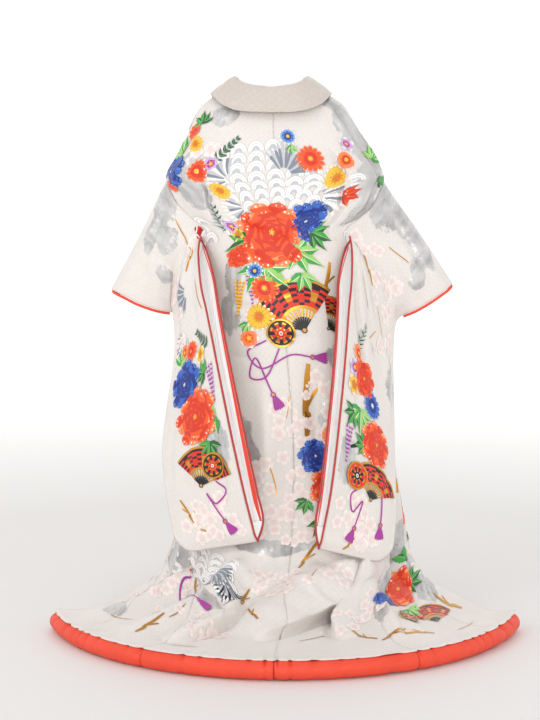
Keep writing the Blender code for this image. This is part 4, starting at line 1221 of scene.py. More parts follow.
def hem_roll(side, piece, start, end, material):
    """One padded length of the hem's roll, gathered where the robe's cloth is sewn onto it."""
    arc = HEM_RADIUS * abs(HEM_TIP_ANGLE[side] - HEM_SEAM_ANGLE)
    trim = HALF_SEAM / arc
    count = round(arc * (end - start) / ROLL_PITCH)
    path, radii = [], []
    around = np.arange(ROLL_SIDES) * 2 * math.pi / ROLL_SIDES
    for step in range(count + 1):
        across = start + trim + (end - start - 2 * trim) * step / count
        run = across * arc * side
        path.append(HEM_CENTRE + hem_direction(side, across) * HEM_RADIUS + ROLL_LIFT)
        gather = float(tucks(run))
        # The path of the left side runs the other way round, so its rings turn the other way too.
        inner = around if side == RIGHT else -around
        from_lap = np.angle(np.exp(1j * (inner - (ROLL_LAP - math.pi / 2))))
        gather *= GATHER_ALL_ROUND + np.exp(-(from_lap / LAP_SPREAD) ** 2)
        wrinkle = WRINKLE * np.sin(3 * inner + 2.3 * math.sin(run * 31)) * math.sin(run * 47 + 1.0)
        away = min(step, count - step) / count * (end - start) * arc
        rounded = math.sqrt(1 - (1 - min(away / END_ROUNDING, 1.0)) ** 2)
        round_end = END_PINCH + (1 - END_PINCH) * rounded
        taper = 1 - TIP_THINS * ease(across, TIP_FROM, 1.0)
        radii.append(ROLL_RADIUS * taper * round_end * (1 - GATHER_DEPTH * gather + wrinkle))
    return tube_mesh(f"padded_hem_{piece}_{SIDE_NAMES[side]}", path, np.array(radii), ROLL_SIDES, material)


# ---------------------------------------------------------------- materials

SHEEN_ROUGHNESS = 0.4


class Look:
    """A new material: the plain values of its shader, and the few kinds of node that feed it."""

    def __init__(self, name, colour, roughness, metallic=0.0, sheen=0.0):
        self.material = bpy.data.materials.new(name)
        self.material.use_nodes = True
        self.material.diffuse_color = (*colour, 1)
        self.tree = self.material.node_tree
        self.shader = self.tree.nodes["Principled BSDF"]
        self.feed(self.shader, {"Base Color": colour, "Roughness": roughness, "Metallic": metallic,
                                "Sheen Weight": sheen, "Sheen Roughness": SHEEN_ROUGHNESS})

    def feed(self, node, sockets):
        """Link each socket to another node's output, or set its number or colour."""
        for key, value in sockets.items():
            socket = node.inputs[key]
            if isinstance(value, bpy.types.NodeSocket):
                self.tree.links.new(value, socket)
            else:
                socket.default_value = (*value, 1) if socket.type == 'RGBA' else value

    def node(self, kind, sockets, output=0, **settings):
        """One of the outputs of a new node."""
        made = self.tree.nodes.new(f"ShaderNode{kind}")
        for setting, value in settings.items():
            setattr(made, setting, value)
        self.feed(made, sockets)
        return made.outputs[output]

    def math(self, operation, *values):
        return self.node("Math", dict(enumerate(values)), operation=operation)

    def noise(self, vector, scale, detail=2.0, roughness=0.5):
        return self.node("TexNoise", {"Vector": vector, "Scale": scale, "Detail": detail,
                                      "Roughness": roughness}, "Fac")

    def ramp(self, value, low, high):
        """0 below low, 1 above high, straight between."""
        return self.node("MapRange", {"Value": value, "From Min": low, "From Max": high}, "Result")

    def mix(self, share, first, second):
        """Two colours mixed by the share of the second."""
        return self.node("Mix", {"Factor": share, "A": first, "B": second}, "Result", data_type='RGBA')

    def stretched(self, vector, scale):
        """The coordinates multiplied by one number each."""
        return self.node("VectorMath", {0: vector, 1: scale}, operation='MULTIPLY')

    def painted(self, name):
        """The number that a mesh keeps for each vertex under this name."""
        return self.node("Attribute", {}, "Fac", attribute_name=name)

    def cut(self):
        """The place on the cut in metres, whole and as its two parts."""
        vector = self.node("UVMap", {}, uv_map="cut")
        across = self.node("SeparateXYZ", {0: vector})
        return vector, across, across.node.outputs[1]

    def bump(self, height, strength, distance):
        relief = self.node("Bump", {"Height": height, "Strength": strength, "Distance": distance})
        self.feed(self.shader, {"Normal": relief})


def darker(colour, share):
    return tuple(part * share for part in colour)


# The woven ground: a lattice of diamonds, each with a four-petalled flower. A cell is one wide.
LATTICE_LINE = (0.43, 0.46)
PETAL_REACH = 0.23
PETAL_SWING = 0.10
PETAL_EDGE = 0.03
# How the figure, the cloudy tone and the threads change the silk.
CLOUD_SCALE = 9.0
CLOUD_RANGE = (0.3, 0.75)
GROUND_TONE = 0.955
FIGURE_SHARE = 0.75
FIGURE_DULLER = 0.16
CLOUD_DULLER = 0.06
SMOOTHER = 0.04
WOVEN_SHEEN = 0.12
RIB_PITCH = 0.0016
RIB_HEIGHT = 0.12
SLUB_SCALE = 260.0
SLUB_HEIGHT = 0.35
FIGURE_HEIGHT = 0.8
WEAVE_RELIEF = (0.35, 0.0006)
# The foil: a darker and a brighter silver, its ragged edge, the worn places and its long streaks. The
# brighter silver along the streaks is partly the leaf's own streaky tone and partly painted glints of the
# folds.
FOIL_COLOUR = (0.40, 0.40, 0.405)
FOIL_STREAK_AND_GLINT = (0.64, 0.64, 0.64)
FOIL_METAL = 0.50
FOIL_ROUGHNESS = 0.30
FOIL_RAGGED = (38.0, 3.0, 0.6)
FOIL_RAGGED_SHARE = 0.70
FOIL_EDGE = (0.84, 0.90)
FOIL_WEAR = (60.0, 4.0, 0.65)
FOIL_WORN = (0.32, 0.60)
FOIL_WORN_SHARE = 0.30
FOIL_STRETCH = (3.0, 0.8, 1.0)
FOIL_STREAK = (9.0, 3.0, 0.5)
FOIL_STREAK_RANGE = (0.36, 0.64)
FOIL_CRINKLE = 42.0


def diamond_flowers(look, u, v, cell):
    """1 on the figure of a common woven ground: a small four-petalled flower in each diamond."""
    def centred(total):
        return look.math('SUBTRACT', look.math('FRACT', look.math('MULTIPLY', total, 1 / cell)), 0.5)

    p = centred(look.math('ADD', u, v))
    q = centred(look.math('SUBTRACT', u, v))
    edge = look.math('MAXIMUM', look.math('ABSOLUTE', p), look.math('ABSOLUTE', q))
    squares = look.math('ADD', look.math('MULTIPLY', p, p), look.math('MULTIPLY', q, q))
    turn = look.math('MULTIPLY', look.math('ARCTAN2', q, p), 4.0)
    reach = look.math('MULTIPLY_ADD', look.math('COSINE', turn), PETAL_SWING, PETAL_REACH)
    inside = look.math('SUBTRACT', reach, look.math('SQRT', squares))
    return look.math('MAXIMUM', look.ramp(edge, *LATTICE_LINE), look.ramp(inside, 0.0, PETAL_EDGE))


def lay_foil(look, vector, silk, rough, height, roughness):
    """Silver leaf over the silk where the mesh says so; returns the new colour, roughness and height."""
    painted = look.painted("foil")
    edge = look.math('MULTIPLY_ADD', look.noise(vector, *FOIL_RAGGED), FOIL_RAGGED_SHARE, painted)
    worn = look.ramp(look.noise(vector, *FOIL_WEAR), *FOIL_WORN)
    whole = look.math('MULTIPLY_ADD', worn, FOIL_WORN_SHARE, 1 - FOIL_WORN_SHARE)
    foil = look.math('MULTIPLY', look.ramp(edge, *FOIL_EDGE), whole)
    streaks = look.noise(look.stretched(vector, FOIL_STRETCH), *FOIL_STREAK)
    # Partly painted light: the streaks lighten the silver in long bands, both the leaf's own streaky tone
    # and painted glints of the folds.
    silver = look.mix(look.ramp(streaks, *FOIL_STREAK_RANGE), FOIL_COLOUR, FOIL_STREAK_AND_GLINT)
    look.feed(look.shader, {"Metallic": look.math('MULTIPLY', foil, FOIL_METAL)})
    smoother = look.math('MULTIPLY', foil, FOIL_ROUGHNESS - roughness)
    crinkle = look.math('MULTIPLY', streaks, painted)
    return (look.mix(foil, silk, silver), look.math('ADD', rough, smoother),
            look.math('MULTIPLY_ADD', crinkle, FOIL_CRINKLE, height))


def woven_silk(name, colour, figure_colour, roughness, cell, foiled=False):
    """Satin with a self-coloured woven figure, duller and a little raised, over a fine rib."""
    look = Look(name, colour, roughness, sheen=WOVEN_SHEEN)
    vector, u, v = look.cut()
    figure = diamond_flowers(look, u, v, cell)
    shade = look.ramp(look.noise(vector, CLOUD_SCALE, 3.0), *CLOUD_RANGE)
    ground = look.mix(shade, colour, darker(colour, GROUND_TONE))
    silk = look.mix(look.math('MULTIPLY', figure, FIGURE_SHARE), ground, figure_colour)
    rough = look.math('MULTIPLY_ADD', figure, FIGURE_DULLER, roughness - SMOOTHER)
    rough = look.math('MULTIPLY_ADD', shade, CLOUD_DULLER, rough)
    rib = look.math('SINE', look.math('MULTIPLY', v, 2 * math.pi / RIB_PITCH))
    slub = look.math('MULTIPLY', look.noise(vector, SLUB_SCALE), SLUB_HEIGHT)
    threads = look.math('MULTIPLY_ADD', rib, RIB_HEIGHT, slub)
    height = look.math('ADD', look.math('MULTIPLY', figure, FIGURE_HEIGHT), threads)
    if foiled:
        silk, rough, height = lay_foil(look, vector, silk, rough, height, roughness)
    look.feed(look.shader, {"Base Color": silk, "Roughness": rough})
    look.bump(height, *WEAVE_RELIEF)
    return look.material


# Plain silk: its uneven tone and slubs, long shallow folds, and a strip of colour along an edge.
TONE_SCALE = 22.0
DARKER_TONE = 0.90
TONE_DULLER = 0.08
GRAIN_SCALE = 300.0
GRAIN_RELIEF = (0.3, 0.0003)
PLEAT_STRETCH = (95.0, 3.2, 1.0)
HEM_WIDENS = (0.36, 0.80)
HEM_ENDS = (0.84, 0.925)
HEM_BLUR = 0.0008


def hem_strip(look, u, v, silk, hem_colour, narrow, wide):
    """The silk with a strip of colour along the cut's inner edge, wider further down."""
    reach = look.math('MULTIPLY_ADD', look.ramp(v, *HEM_WIDENS), wide - narrow, narrow)
    reach = look.math('MULTIPLY', reach, look.math('SUBTRACT', 1.0, look.ramp(v, *HEM_ENDS)))
    beyond = look.ramp(look.math('SUBTRACT', u, reach), 0.0, HEM_BLUR)
    return look.mix(beyond, hem_colour, silk)


def plain_silk(name, colour, roughness=0.55, sheen=0.0, glow=0.0, pleats=0.0, hem=None):
    """A plain lining or roll silk: fine slubs and a soft, uneven tone; `glow` is painted light, the silk
    giving off light of its own colour so that it reads bright in shade.

    `pleats` is the strength of long shallow folds; `hem` is the colour of a strip along the cut's inner
    edge and its width at the top and further down.
    """
    look = Look(name, colour, roughness, sheen=sheen)
    # Painted light: the silk gives off light of its own colour, as strong as `glow`, so that it reads bright
    # where it lies in shade.
    look.feed(look.shader, {"Emission Color": colour, "Emission Strength": glow})
    vector, u, v = look.cut()
    shade = look.ramp(look.noise(vector, TONE_SCALE, 3.0), *CLOUD_RANGE)
    silk = look.mix(shade, colour, darker(colour, DARKER_TONE))
    height = look.noise(vector, GRAIN_SCALE)
    if pleats:
        folds = look.noise(look.stretched(vector, PLEAT_STRETCH), 1.0)
        height = look.math('MULTIPLY_ADD', folds, pleats, height)
    if hem:
        silk = hem_strip(look, u, v, silk, *hem)
        # The painted glow takes the strip's red too.
        look.feed(look.shader, {"Emission Color": silk})
    rough = look.math('MULTIPLY_ADD', shade, TONE_DULLER, roughness - SMOOTHER)
    look.feed(look.shader, {"Base Color": silk, "Roughness": rough})
    look.bump(height, *GRAIN_RELIEF)
    return look.material


# ---------------------------------------------------------------- motifs

# Ordinary flowers, leaves, branches, fans, balls, waves and cords, as thin painted and stitched faces
# that lie on the cloth. They are drawn flat, each in its own units, and laid out one by one on the cut.

Ink = namedtuple("Ink", "code roughness metallic", defaults=(0.50, 0.0))
INKS = {
    "orange": Ink("#F4581F"), "deep_orange": Ink("#D8330F"), "coral": Ink("#FF8D58"),
    "petal_white": Ink("#FBEFE6", 0.52), "red": Ink("#DE2A1A", 0.46), "dark_red": Ink("#8E1A20"),
    "blue": Ink("#2F62C0", 0.48), "navy": Ink("#142F86", 0.48), "sky": Ink("#86AEE2"),
    "green": Ink("#3DA446"), "dark_green": Ink("#25613A", 0.52), "light_green": Ink("#9AD26E"),
    "yellow": Ink("#F5C33C"), "ochre": Ink("#D98E1E"), "purple": Ink("#A8379B", 0.46),
    "lilac": Ink("#CDB2DA", 0.52), "pale_pink": Ink("#F0E5E1"), "pink": Ink("#EBD8D5"),
    "white": Ink("#F6F3F0", 0.52), "pale_grey": Ink("#C3C6CC", 0.48), "grey": Ink("#838B98", 0.48),
    "black": Ink("#15130F", 0.42), "gold": Ink("#C9923A", 0.30, 0.85), "silver": Ink("#B9BABC", 0.30, 0.85),
}
INK_ORDER = tuple(INKS)
INK_SHEEN = 0.15
# Heights off the cloth: of the lowest motif, of one layer more, and of a petal's middle; and the
# longest side of a face.
LAY = 0.0007
LAYER = 0.00014
PETAL_RISE = 0.0007
LONGEST_STEP = 0.007


def linear(code):
    """The linear colour of a hex code."""
    parts = [int(code[i:i + 2], 16) / 255 for i in (1, 3, 5)]
    return tuple(part / 12.92 if part <= 0.04045 else ((part + 0.055) / 1.055) ** 2.4 for part in parts)


def ink_materials():
    return [Look(f"ink_{name}", linear(ink.code), ink.roughness, ink.metallic, INK_SHEEN).material
            for name, ink in INKS.items()]


STRETCH_STEP = 0.01
SCALE_LIMITS = (0.7, 1.5)


class Design:
    """The motif faces of one stretch of cloth: places on the cut, heights off it, and inks."""

    def __init__(self, surface):
        self.surface = surface
        self.places, self.heights, self.faces, self.inks = [], [], [], []
        self.count = 0
        self.layer = 0.0

    def spot(self, across, along, turn=0.0, size=1.0, layer=0.0):
        """Start a motif: where its middle is, its turn in degrees and the metres of one of its units."""
        points = self.surface.read(across + STRETCH_STEP * np.array((-1, 1, 0, 0)),
                                   along + STRETCH_STEP * np.array((0, 0, -1, 1)))[0]
        stretch = (np.linalg.norm(points[1] - points[0]), np.linalg.norm(points[3] - points[2]))
        self.scale = size * np.clip(2 * STRETCH_STEP / np.maximum(stretch, 1e-6), *SCALE_LIMITS)
        self.size = size
        self.middle = np.array((across, along))
        angle = math.radians(turn)
        self.axes = np.array(((math.cos(angle), math.sin(angle)), (-math.sin(angle), math.cos(angle))))
        self.layer = layer

    def aside(self, across, along):
        """Draw around a place given in the motif's own units, until the returned middle is put back."""
        middle = self.middle
        self.middle = middle + (np.array((across, along)) @ self.axes) * self.scale
        return middle

    def grid(self, local, lift, inks):
        """A grid of faces: local places in units and lift in layers for its corners, inks for its faces."""
        rows, cols = local.shape[:2]
        places = (local.reshape(-1, 2) @ self.axes) * self.scale + self.middle
        self.places.append(places)
        self.heights.append((LAY + (self.layer + np.asarray(lift)) * LAYER).ravel())
        self.faces.append(self.count + quads_of(rows, cols))
        self.inks.append(np.asarray(inks).reshape(-1))
        self.count += rows * cols

    def make(self, name, materials):
        """Lay the faces on the cloth as one object."""
        places = np.concatenate(self.places)
        points, normals, panels = self.surface.read(places[:, 0], places[:, 1])
        points = points + normals * np.concatenate(self.heights)[:, None]
        faces, inks = np.concatenate(self.faces), np.concatenate(self.inks)
        good = self.surface.holds(places, panels)[faces].all(axis=1)
        good &= self.surface.one_sheet(places, panels, faces)
        faces, inks = faces[good], inks[good]
        middle = normals[faces].sum(axis=1)
        corners = [points[faces[:, i]] for i in range(4)]
        inward = (np.cross(corners[2] - corners[0], corners[3] - corners[1]) * middle).sum(axis=1) < 0
        faces[inward] = faces[inward][:, ::-1]
        used = np.unique(faces)
        new_place = np.zeros(len(points), int)
        new_place[used] = np.arange(len(used))
        mesh = bpy.data.meshes.new(name)
        mesh.from_pydata(points[used].tolist(), [], new_place[faces].tolist())
        shown = sorted(set(inks.tolist()))
        for ink in shown:
            mesh.materials.append(materials[ink])
        mesh.polygons.foreach_set("material_index", np.searchsorted(shown, inks))
        mesh.shade_smooth()
        return add_object(name, mesh)


def ink(name):
    return INK_ORDER.index(name)


def bands(rows, cols, names):
    """Inks for a grid whose rows run through these names in equal bands."""
    row = np.minimum(np.arange(rows - 1) * len(names) // (rows - 1), len(names) - 1)
    return np.repeat(np.array([ink(name) for name in names])[row][:, None], cols - 1, axis=1)


def turned_out(out, aside, angle):
    """Local places that lie `out` along a ray `angle` degrees from straight up, and `aside` of it."""
    turned = math.radians(angle)
    return np.stack((out * math.sin(turned) + aside * math.cos(turned),
                     -out * math.cos(turned) + aside * math.sin(turned)), axis=2)


def round_local(out, angles):
    """Local places on rays at these angles, in radians from straight up."""
    return np.stack((out * np.sin(angles), -out * np.cos(angles)), axis=2)


def petal(design, angle, start, end, width, inks, lift=0.0, notch=0.0, widest=0.6, rise=1.0, curl=0.0,
          base=0.35, tilt=0.5):
    """A rounded petal from `start` to `end` units out, at `angle` degrees."""
    length = (end - start) * design.size
    rows = max(5, 2 + math.ceil(length / LONGEST_STEP), len(inks) + 2)
    cols = max(4, 2 + math.ceil(2 * width * design.size / LONGEST_STEP))
    t = np.linspace(0, 1, rows)[:, None]
    c = np.linspace(-1, 1, cols)[None, :]
    swell = base + (1 - base) * np.sin(np.pi / 2 * np.clip(t / widest, 0, 1))
    tip = np.sqrt(np.clip(1 - (np.clip(t - widest, 0, 1) / (1 - widest)) ** 2, 0, 1))
    half = width * swell * np.maximum(tip, 0.02)
    out = start + (end - start) * (t - notch * (1 - np.abs(c)) ** 1.5 * t ** 4) + 0 * c
    aside = half * c + curl * t * t
    local = turned_out(out, aside, angle)
    high = lift + rise * PETAL_RISE / LAYER * (1 - c * c) * np.sin(np.pi * t) + tilt * c
    design.grid(local, high, bands(rows, cols, inks))


def disc(design, radius, inks, lift, sides=14):
    """A round patch in rings of ink."""
    rings = len(inks) + 1
    out = np.linspace(0.02, radius, rings)[:, None]
    angles = np.linspace(0, 2 * math.pi, sides + 1)[None, :]
    design.grid(round_local(out, angles), lift + 0 * out * angles, bands(rings, sides + 1, inks))


def flower_inks(*parts):
    """Inks of a flower: outer ring from base to tip, inner ring from base to tip, and middle."""
    return tuple(tuple(part.split()) for part in parts)


ORANGE = flower_inks("deep_orange orange orange coral", "red deep_orange orange", "yellow gold")
SCARLET = flower_inks("deep_orange orange coral petal_white", "red deep_orange orange", "yellow gold")
BLUE = flower_inks("navy blue blue sky", "navy navy blue", "white sky")
PALE_BLUE = flower_inks("blue sky white", "navy blue sky", "yellow yellow")
YELLOW = flower_inks("ochre yellow yellow petal_white", "ochre yellow", "gold orange")
CORAL = flower_inks("orange coral coral petal_white", "deep_orange orange coral", "yellow yellow")
LILAC = flower_inks("purple lilac lilac white", "purple lilac", "yellow yellow")
WHITE = flower_inks("pale_grey white white white", "grey pale_grey white", "yellow gold")
GREY = flower_inks("grey grey pale_grey white", "grey pale_grey white", "silver silver")
KNOT_RED = flower_inks("dark_red red petal_white dark_red", "", "dark_red red")
DRIFT_INKS = flower_inks("pink pale_pink pale_pink petal_white", "", "pink pink")


def daisy(design, inks, petals=16):
    """A round chrysanthemum: a ring of slim petals, a shorter one on it and a gold middle."""
    for ring, (start, end, share) in enumerate(((0.20, 1.0, 1.0), (0.14, 0.58, 0.9))):
        number = petals if ring == 0 else petals * 3 // 4
        width = 0.9 * math.pi * end * 0.72 / number * share
        for i in range(number):
            sway = 0.03 * math.sin(5.1 * i + ring)
            petal(design, 360 * (i + 0.5 * ring) / number, start, end + sway, width, inks[ring],
                  lift=2.2 * ring, widest=0.72, rise=0.6, notch=0.04)
    disc(design, 0.19, inks[2], 5.0)


# Start, end and width of a ring's petals, and how many there are.
PEONY_RINGS = ((0.50, 1.00, 0.22, 12), (0.38, 0.84, 0.22, 10), (0.22, 0.64, 0.20, 8),
               (0.10, 0.46, 0.18, 6), (0.02, 0.28, 0.13, 5))
PEONY_STEP = 2.8
PEONY_FLECKS = ((5, 0.30), (-3, 0.22))


def peony(design, inks):
    """A full flower: rings of notched petals in two turns of ink, flecked at the rim."""
    deep, full, fleck = inks[0][0], inks[0][1], inks[0][3]
    for ring, (start, end, width, number) in enumerate(PEONY_RINGS):
        inner = ring >= 2
        for i in range(number):
            uneven = 0.07 * math.sin(3.7 * i + 2.1 * ring)
            shades = (inks[1] if inner else inks[0][:3]) if (i + ring) % 2 else (deep, deep, full)
            angle = 360 * (i + 0.37 * ring) / number + 60 * uneven
            reach = end * (1 + uneven)
            lift = PEONY_STEP * ring
            petal(design, angle, start, reach, width, shades, lift=lift, notch=0.20, widest=0.66,
                  rise=1.4, base=0.5, tilt=1.1)
            for turn, length in () if inner else PEONY_FLECKS:
                petal(design, angle + turn, reach - length, reach - 0.05, 0.028, (inks[0][2], fleck, fleck),
                      lift=lift + 2.6, rise=0.2, widest=0.8)
    top = PEONY_STEP * len(PEONY_RINGS)
    for i in range(7):
        petal(design, 360 * i / 7, 0.0, 0.13, 0.018, (inks[2][0],), lift=top, rise=0.3)
    disc(design, 0.05, inks[2], top + 1.5, sides=9)


def blossom(design, inks):
    """A five-petalled blossom with notched tips and a few stamens."""
    for i in range(5):
        petal(design, 72 * i, 0.08, 1.0, 0.43, inks[0], notch=0.22, widest=0.66, rise=0.8, base=0.3)
    disc(design, 0.20, inks[2], 3.0, sides=10)
    for i in range(5):
        petal(design, 72 * i + 36, 0.15, 0.46, 0.03, (inks[2][0],), lift=3.2, rise=0.2)


def leaf(design, angle, start, length, width, inks, lift=0.0, curl=0.0):
    """A pointed leaf, its two halves in two inks, with a pale vein."""
    rows = max(5, 2 + math.ceil(length * design.size / LONGEST_STEP))
    t = np.linspace(0, 1, rows)[:, None]
    c = np.array((-1.0, -0.5, -0.07, 0.07, 0.5, 1.0))[None, :]
    teeth = 1 + 0.12 * np.cos(np.pi * 6 * t)
    half = width * np.sin(np.pi * np.clip(0.06 + 0.92 * t, 0, 1) ** 0.8) * teeth
    aside = half * c + curl * t * t
    out = start + length * t + 0 * c - 0.10 * length * np.abs(c)
    row = [ink(inks[0]), ink(inks[0]), ink(inks[2]), ink(inks[1]), ink(inks[1])]
    high = lift + PETAL_RISE / LAYER * (1 - c * c) * 0.6 * np.sin(np.pi * t)
    design.grid(turned_out(out, aside, angle), high, np.tile(row, (rows - 1, 1)))


LEAF_GREENS = ("green", "dark_green", "light_green")
FRESH_GREENS = ("light_green", "green", "petal_white")
DARK_GREENS = ("dark_green", "dark_green", "pale_grey")
PALE_GREENS = ("pale_grey", "dark_green", "white")


def leaves(design, inks=LEAF_GREENS, blades=5):
    """A hand of broad leaves."""
    for i in range(blades):
        place = i - (blades - 1) / 2
        leaf(design, 34 * place, 0.05, 1.0 - 0.13 * abs(place), 0.20, inks, lift=0.9 * (blades - abs(place)),
             curl=0.08 * place)


SPRAY_PAIRS = 6


def spray(design, inks=DARK_GREENS):
    """A stem with pairs of small leaves."""
    ribbon(design, ((0, 1.0), (0.03, 0.4), (0.0, -0.2), (-0.06, -0.9)), 0.03, (inks[1],), lift=0.4)
    for i in range(SPRAY_PAIRS):
        along = 0.85 - 1.6 * i / (SPRAY_PAIRS - 1)
        for hand in (-1, 1):
            middle = design.aside(0.0, along)
            leaf(design, hand * (52 - 3 * i), 0.02, 0.50 - 0.045 * i, 0.10, inks, lift=0.8)
            design.middle = middle


def ribbon(design, corners, width, inks, lift=0.0, ends=0.35, scaled=True):
    """A band of even width along a smooth path, narrowing at its ends."""
    corners = np.asarray(corners, float)
    run = np.linalg.norm(np.diff(corners, axis=0), axis=1).sum() * (design.size if scaled else 1)
    path = smooth_path(corners, max(5, 2 + math.ceil(run / LONGEST_STEP)))
    ahead = np.gradient(path, axis=0)
    ahead /= np.maximum(np.linalg.norm(ahead, axis=1, keepdims=True), 1e-9)
    aside = np.stack((-ahead[:, 1], ahead[:, 0]), axis=1)
    part = np.linspace(0, 1, len(path))
    half = width / 2 * (ends + (1 - ends) * np.clip(np.sin(np.pi * part) * 3, 0, 1))
    cols = len(inks) + 1
    c = np.linspace(-1, 1, cols)
    local = path[:, None, :] + aside[:, None, :] * (half[:, None] * c[None, :])[:, :, None]
    row = np.tile([ink(name) for name in inks], (len(path) - 1, 1))
    design.grid(local, lift + 0.6 * np.ones((len(path), 1)) * (1 - c * c)[None, :], row)


def branch(design, inks=("gold",)):
    """A short, angular branch with a side twig and two knots."""
    stem = ((0, 1.0), (0.04, 0.45), (-0.03, 0.40), (0.0, -0.15), (0.10, -0.95))
    ribbon(design, stem, 0.17, inks, ends=0.7)
    ribbon(design, ((0.0, 0.25), (0.16, -0.05), (0.34, -0.30)), 0.09, inks, lift=0.3, ends=0.5)


def twig(design, inks=("gold",)):
    """A thin straight gold stroke, a little bent."""
    ribbon(design, ((0, 1.0), (0.05, 0.1), (-0.02, -1.0)), 0.07, inks, ends=0.4)


FAN_SPREAD = 124
FAN_BLADES = 11


def fan(design, ground="red", figure="black"):
    """An open folding fan: ribs, a pleated leaf with a plain lattice figure, and a gold rim."""
    half = math.radians(FAN_SPREAD) / 2
    for i in range(FAN_BLADES):
        angle = -FAN_SPREAD / 2 + FAN_SPREAD * (i + 0.5) / FAN_BLADES
        petal(design, angle, 0.02, 0.50, 0.018, ("black", "gold"), lift=0.5, rise=0.4, base=0.8, widest=0.9)
    rows, cols = 11, 2 * FAN_BLADES + 1
    out = np.linspace(0.42, 1.0, rows)[:, None]
    turn = np.linspace(-half, half, cols)[None, :]
    fold = np.where(np.arange(cols) % 2 == 0, 0.0, 1.6)[None, :] + 0 * out
    inks = np.full((rows - 1, cols - 1), ink(ground))
    row, col = np.indices(inks.shape)
    inks[(row + col // 2) % 4 == 0] = ink(figure)
    inks[(row - col // 2) % 4 == 2] = ink(figure)
    inks[(row >= 3) & (row <= 5) & (col // 2 % 4 == 1)] = ink("gold")
    inks[(row == 0) | (row >= rows - 2)] = ink("gold")
    inks[row == rows - 3] = ink(figure)
    design.grid(round_local(out, turn), 1.4 + fold, inks)
    disc(design, 0.06, ("gold", "black"), 2.6, sides=9)


BALL_WEDGES = 8
BALL_DOME = 2.4


def ball(design, ground="black", figures=("red", "gold")):
    """A thread ball: wedges wound in star points over a dark ground."""
    rows, cols = 9, 4 * BALL_WEDGES + 1
    out = np.linspace(0.03, 1.0, rows)[:, None]
    turn = np.linspace(0, 2 * math.pi, cols)[None, :]
    inks = np.full((rows - 1, cols - 1), ink(ground))
    row, col = np.indices(inks.shape)
    step = col % 4
    inside = np.where((step == 0) | (step == 3), 2, 5)
    inks[row < inside] = ink(figures[0])
    inks[(row == inside) | (row == rows - 2)] = ink(figures[1])
    dome = BALL_DOME * np.sqrt(np.clip(1 - out ** 2, 0, 1))
    design.grid(round_local(out, turn), 1.0 + dome + 0 * turn, inks)
    disc(design, 0.14, ("gold", "white"), 4.6, sides=10)


def waves(design, rows=6, inks=("pale_grey", "white", "pale_grey")):
    """A patch of overlapping wave scales, fading to the sides."""
    pitch = 2.0 / rows
    radius = pitch * 1.08
    for row in range(rows):
        along = -1 + pitch * (row + 0.5)
        reach = math.sqrt(max(0.0, 1 - (along * 0.92) ** 2)) * 1.7
        number = max(1, round(reach / radius))
        for i in range(number):
            across = (i - (number - 1) / 2) * radius * 2 + (radius if row % 2 and number % 2 == 0 else 0)
            scale_arc(design, across, along, radius, inks, 0.7 * row)


SCALE_BANDS = (0.22, 0.42, 0.47, 0.69, 0.74, 0.95, 1.0)


def scale_arc(design, across, along, radius, inks, lift):
    """One wave scale: three bands of arc over its own middle."""
    angles = np.linspace(-math.pi / 2, math.pi / 2, 11)[None, :]
    out = np.array(SCALE_BANDS)[:, None] * radius
    names = (inks[0], inks[2], inks[1], inks[2], inks[1], inks[2])
    high = lift + 0.02 * np.arange(len(SCALE_BANDS))[:, None] + 0 * angles
    design.grid(round_local(out, angles) + (across, along), high,
                np.repeat([[ink(name)] for name in names], angles.shape[1] - 1, axis=1))


STROKES = 13
STROKE_SPREAD = 110


def feathered(design, inks=("pale_grey", "white", "grey")):
    """A fan of slim curved strokes, like wind-blown grass."""
    for i in range(STROKES):
        place = i / (STROKES - 1) - 0.5
        shade = inks[i % len(inks)]
        petal(design, STROKE_SPREAD * place, 0.22, 1.0 - 0.5 * place * place, 0.045, (shade, shade, inks[1]),
              lift=0.4 * (i % 3), curl=0.22 * place, widest=0.6, rise=0.6)


def wisteria(design, inks=("lilac", "purple"), length=9):
    """A hanging cluster of small petals."""
    for i in range(length):
        along = i / (length - 1)
        for hand in (-1, 0, 1):
            if hand and along > 0.85:
                continue
            wide = 0.20 * (1 - along) + 0.04
            middle = design.aside(hand * wide, 1.6 * along - 0.6)
            petal(design, 180 + 35 * hand, -0.04, 0.15, 0.075, inks, lift=0.5 * (i % 2), rise=0.5)
            design.middle = middle


CORD_INK = "purple"
CORD_WIDTH = 0.0042
CORD_LAYER = 9.0
TASSEL_SIZE = 0.040


def cord(design, corners):
    """A cord along places on the cut, ending in a tassel."""
    design.spot(*corners[0])
    places = (np.asarray(corners, float) - design.middle) / design.scale
    ribbon(design, places, CORD_WIDTH, (CORD_INK, CORD_INK), lift=CORD_LAYER, ends=0.9, scaled=False)
    end, before = corners[-1], corners[-2]
    turn = math.degrees(math.atan2(end[0] - before[0], before[1] - end[1]))
    design.spot(*end, turn, TASSEL_SIZE, CORD_LAYER)
    for i in range(5):
        petal(design, 9 * (i - 2), -0.1, 1.0, 0.11, (CORD_INK,), lift=0.5 * i, widest=0.75, rise=0.8)
    disc(design, 0.18, ("gold", CORD_INK), 3.4, sides=9)


MOTIFS = {motif.__name__: motif for motif in (daisy, peony, blossom, leaves, spray, branch, twig, fan, ball,
                                              waves, feathered, wisteria)}
Motif = namedtuple("Motif", "kind across along turn size layer options")


def at(kind, across, along, turn, size, layer, **options):
    """A motif: its middle on the cut, its turn in degrees, the metres of its unit, and its layer."""
    return Motif(kind, across, along, turn, size, layer, options)


DARK_FAN = {"ground": "black", "figure": "red"}

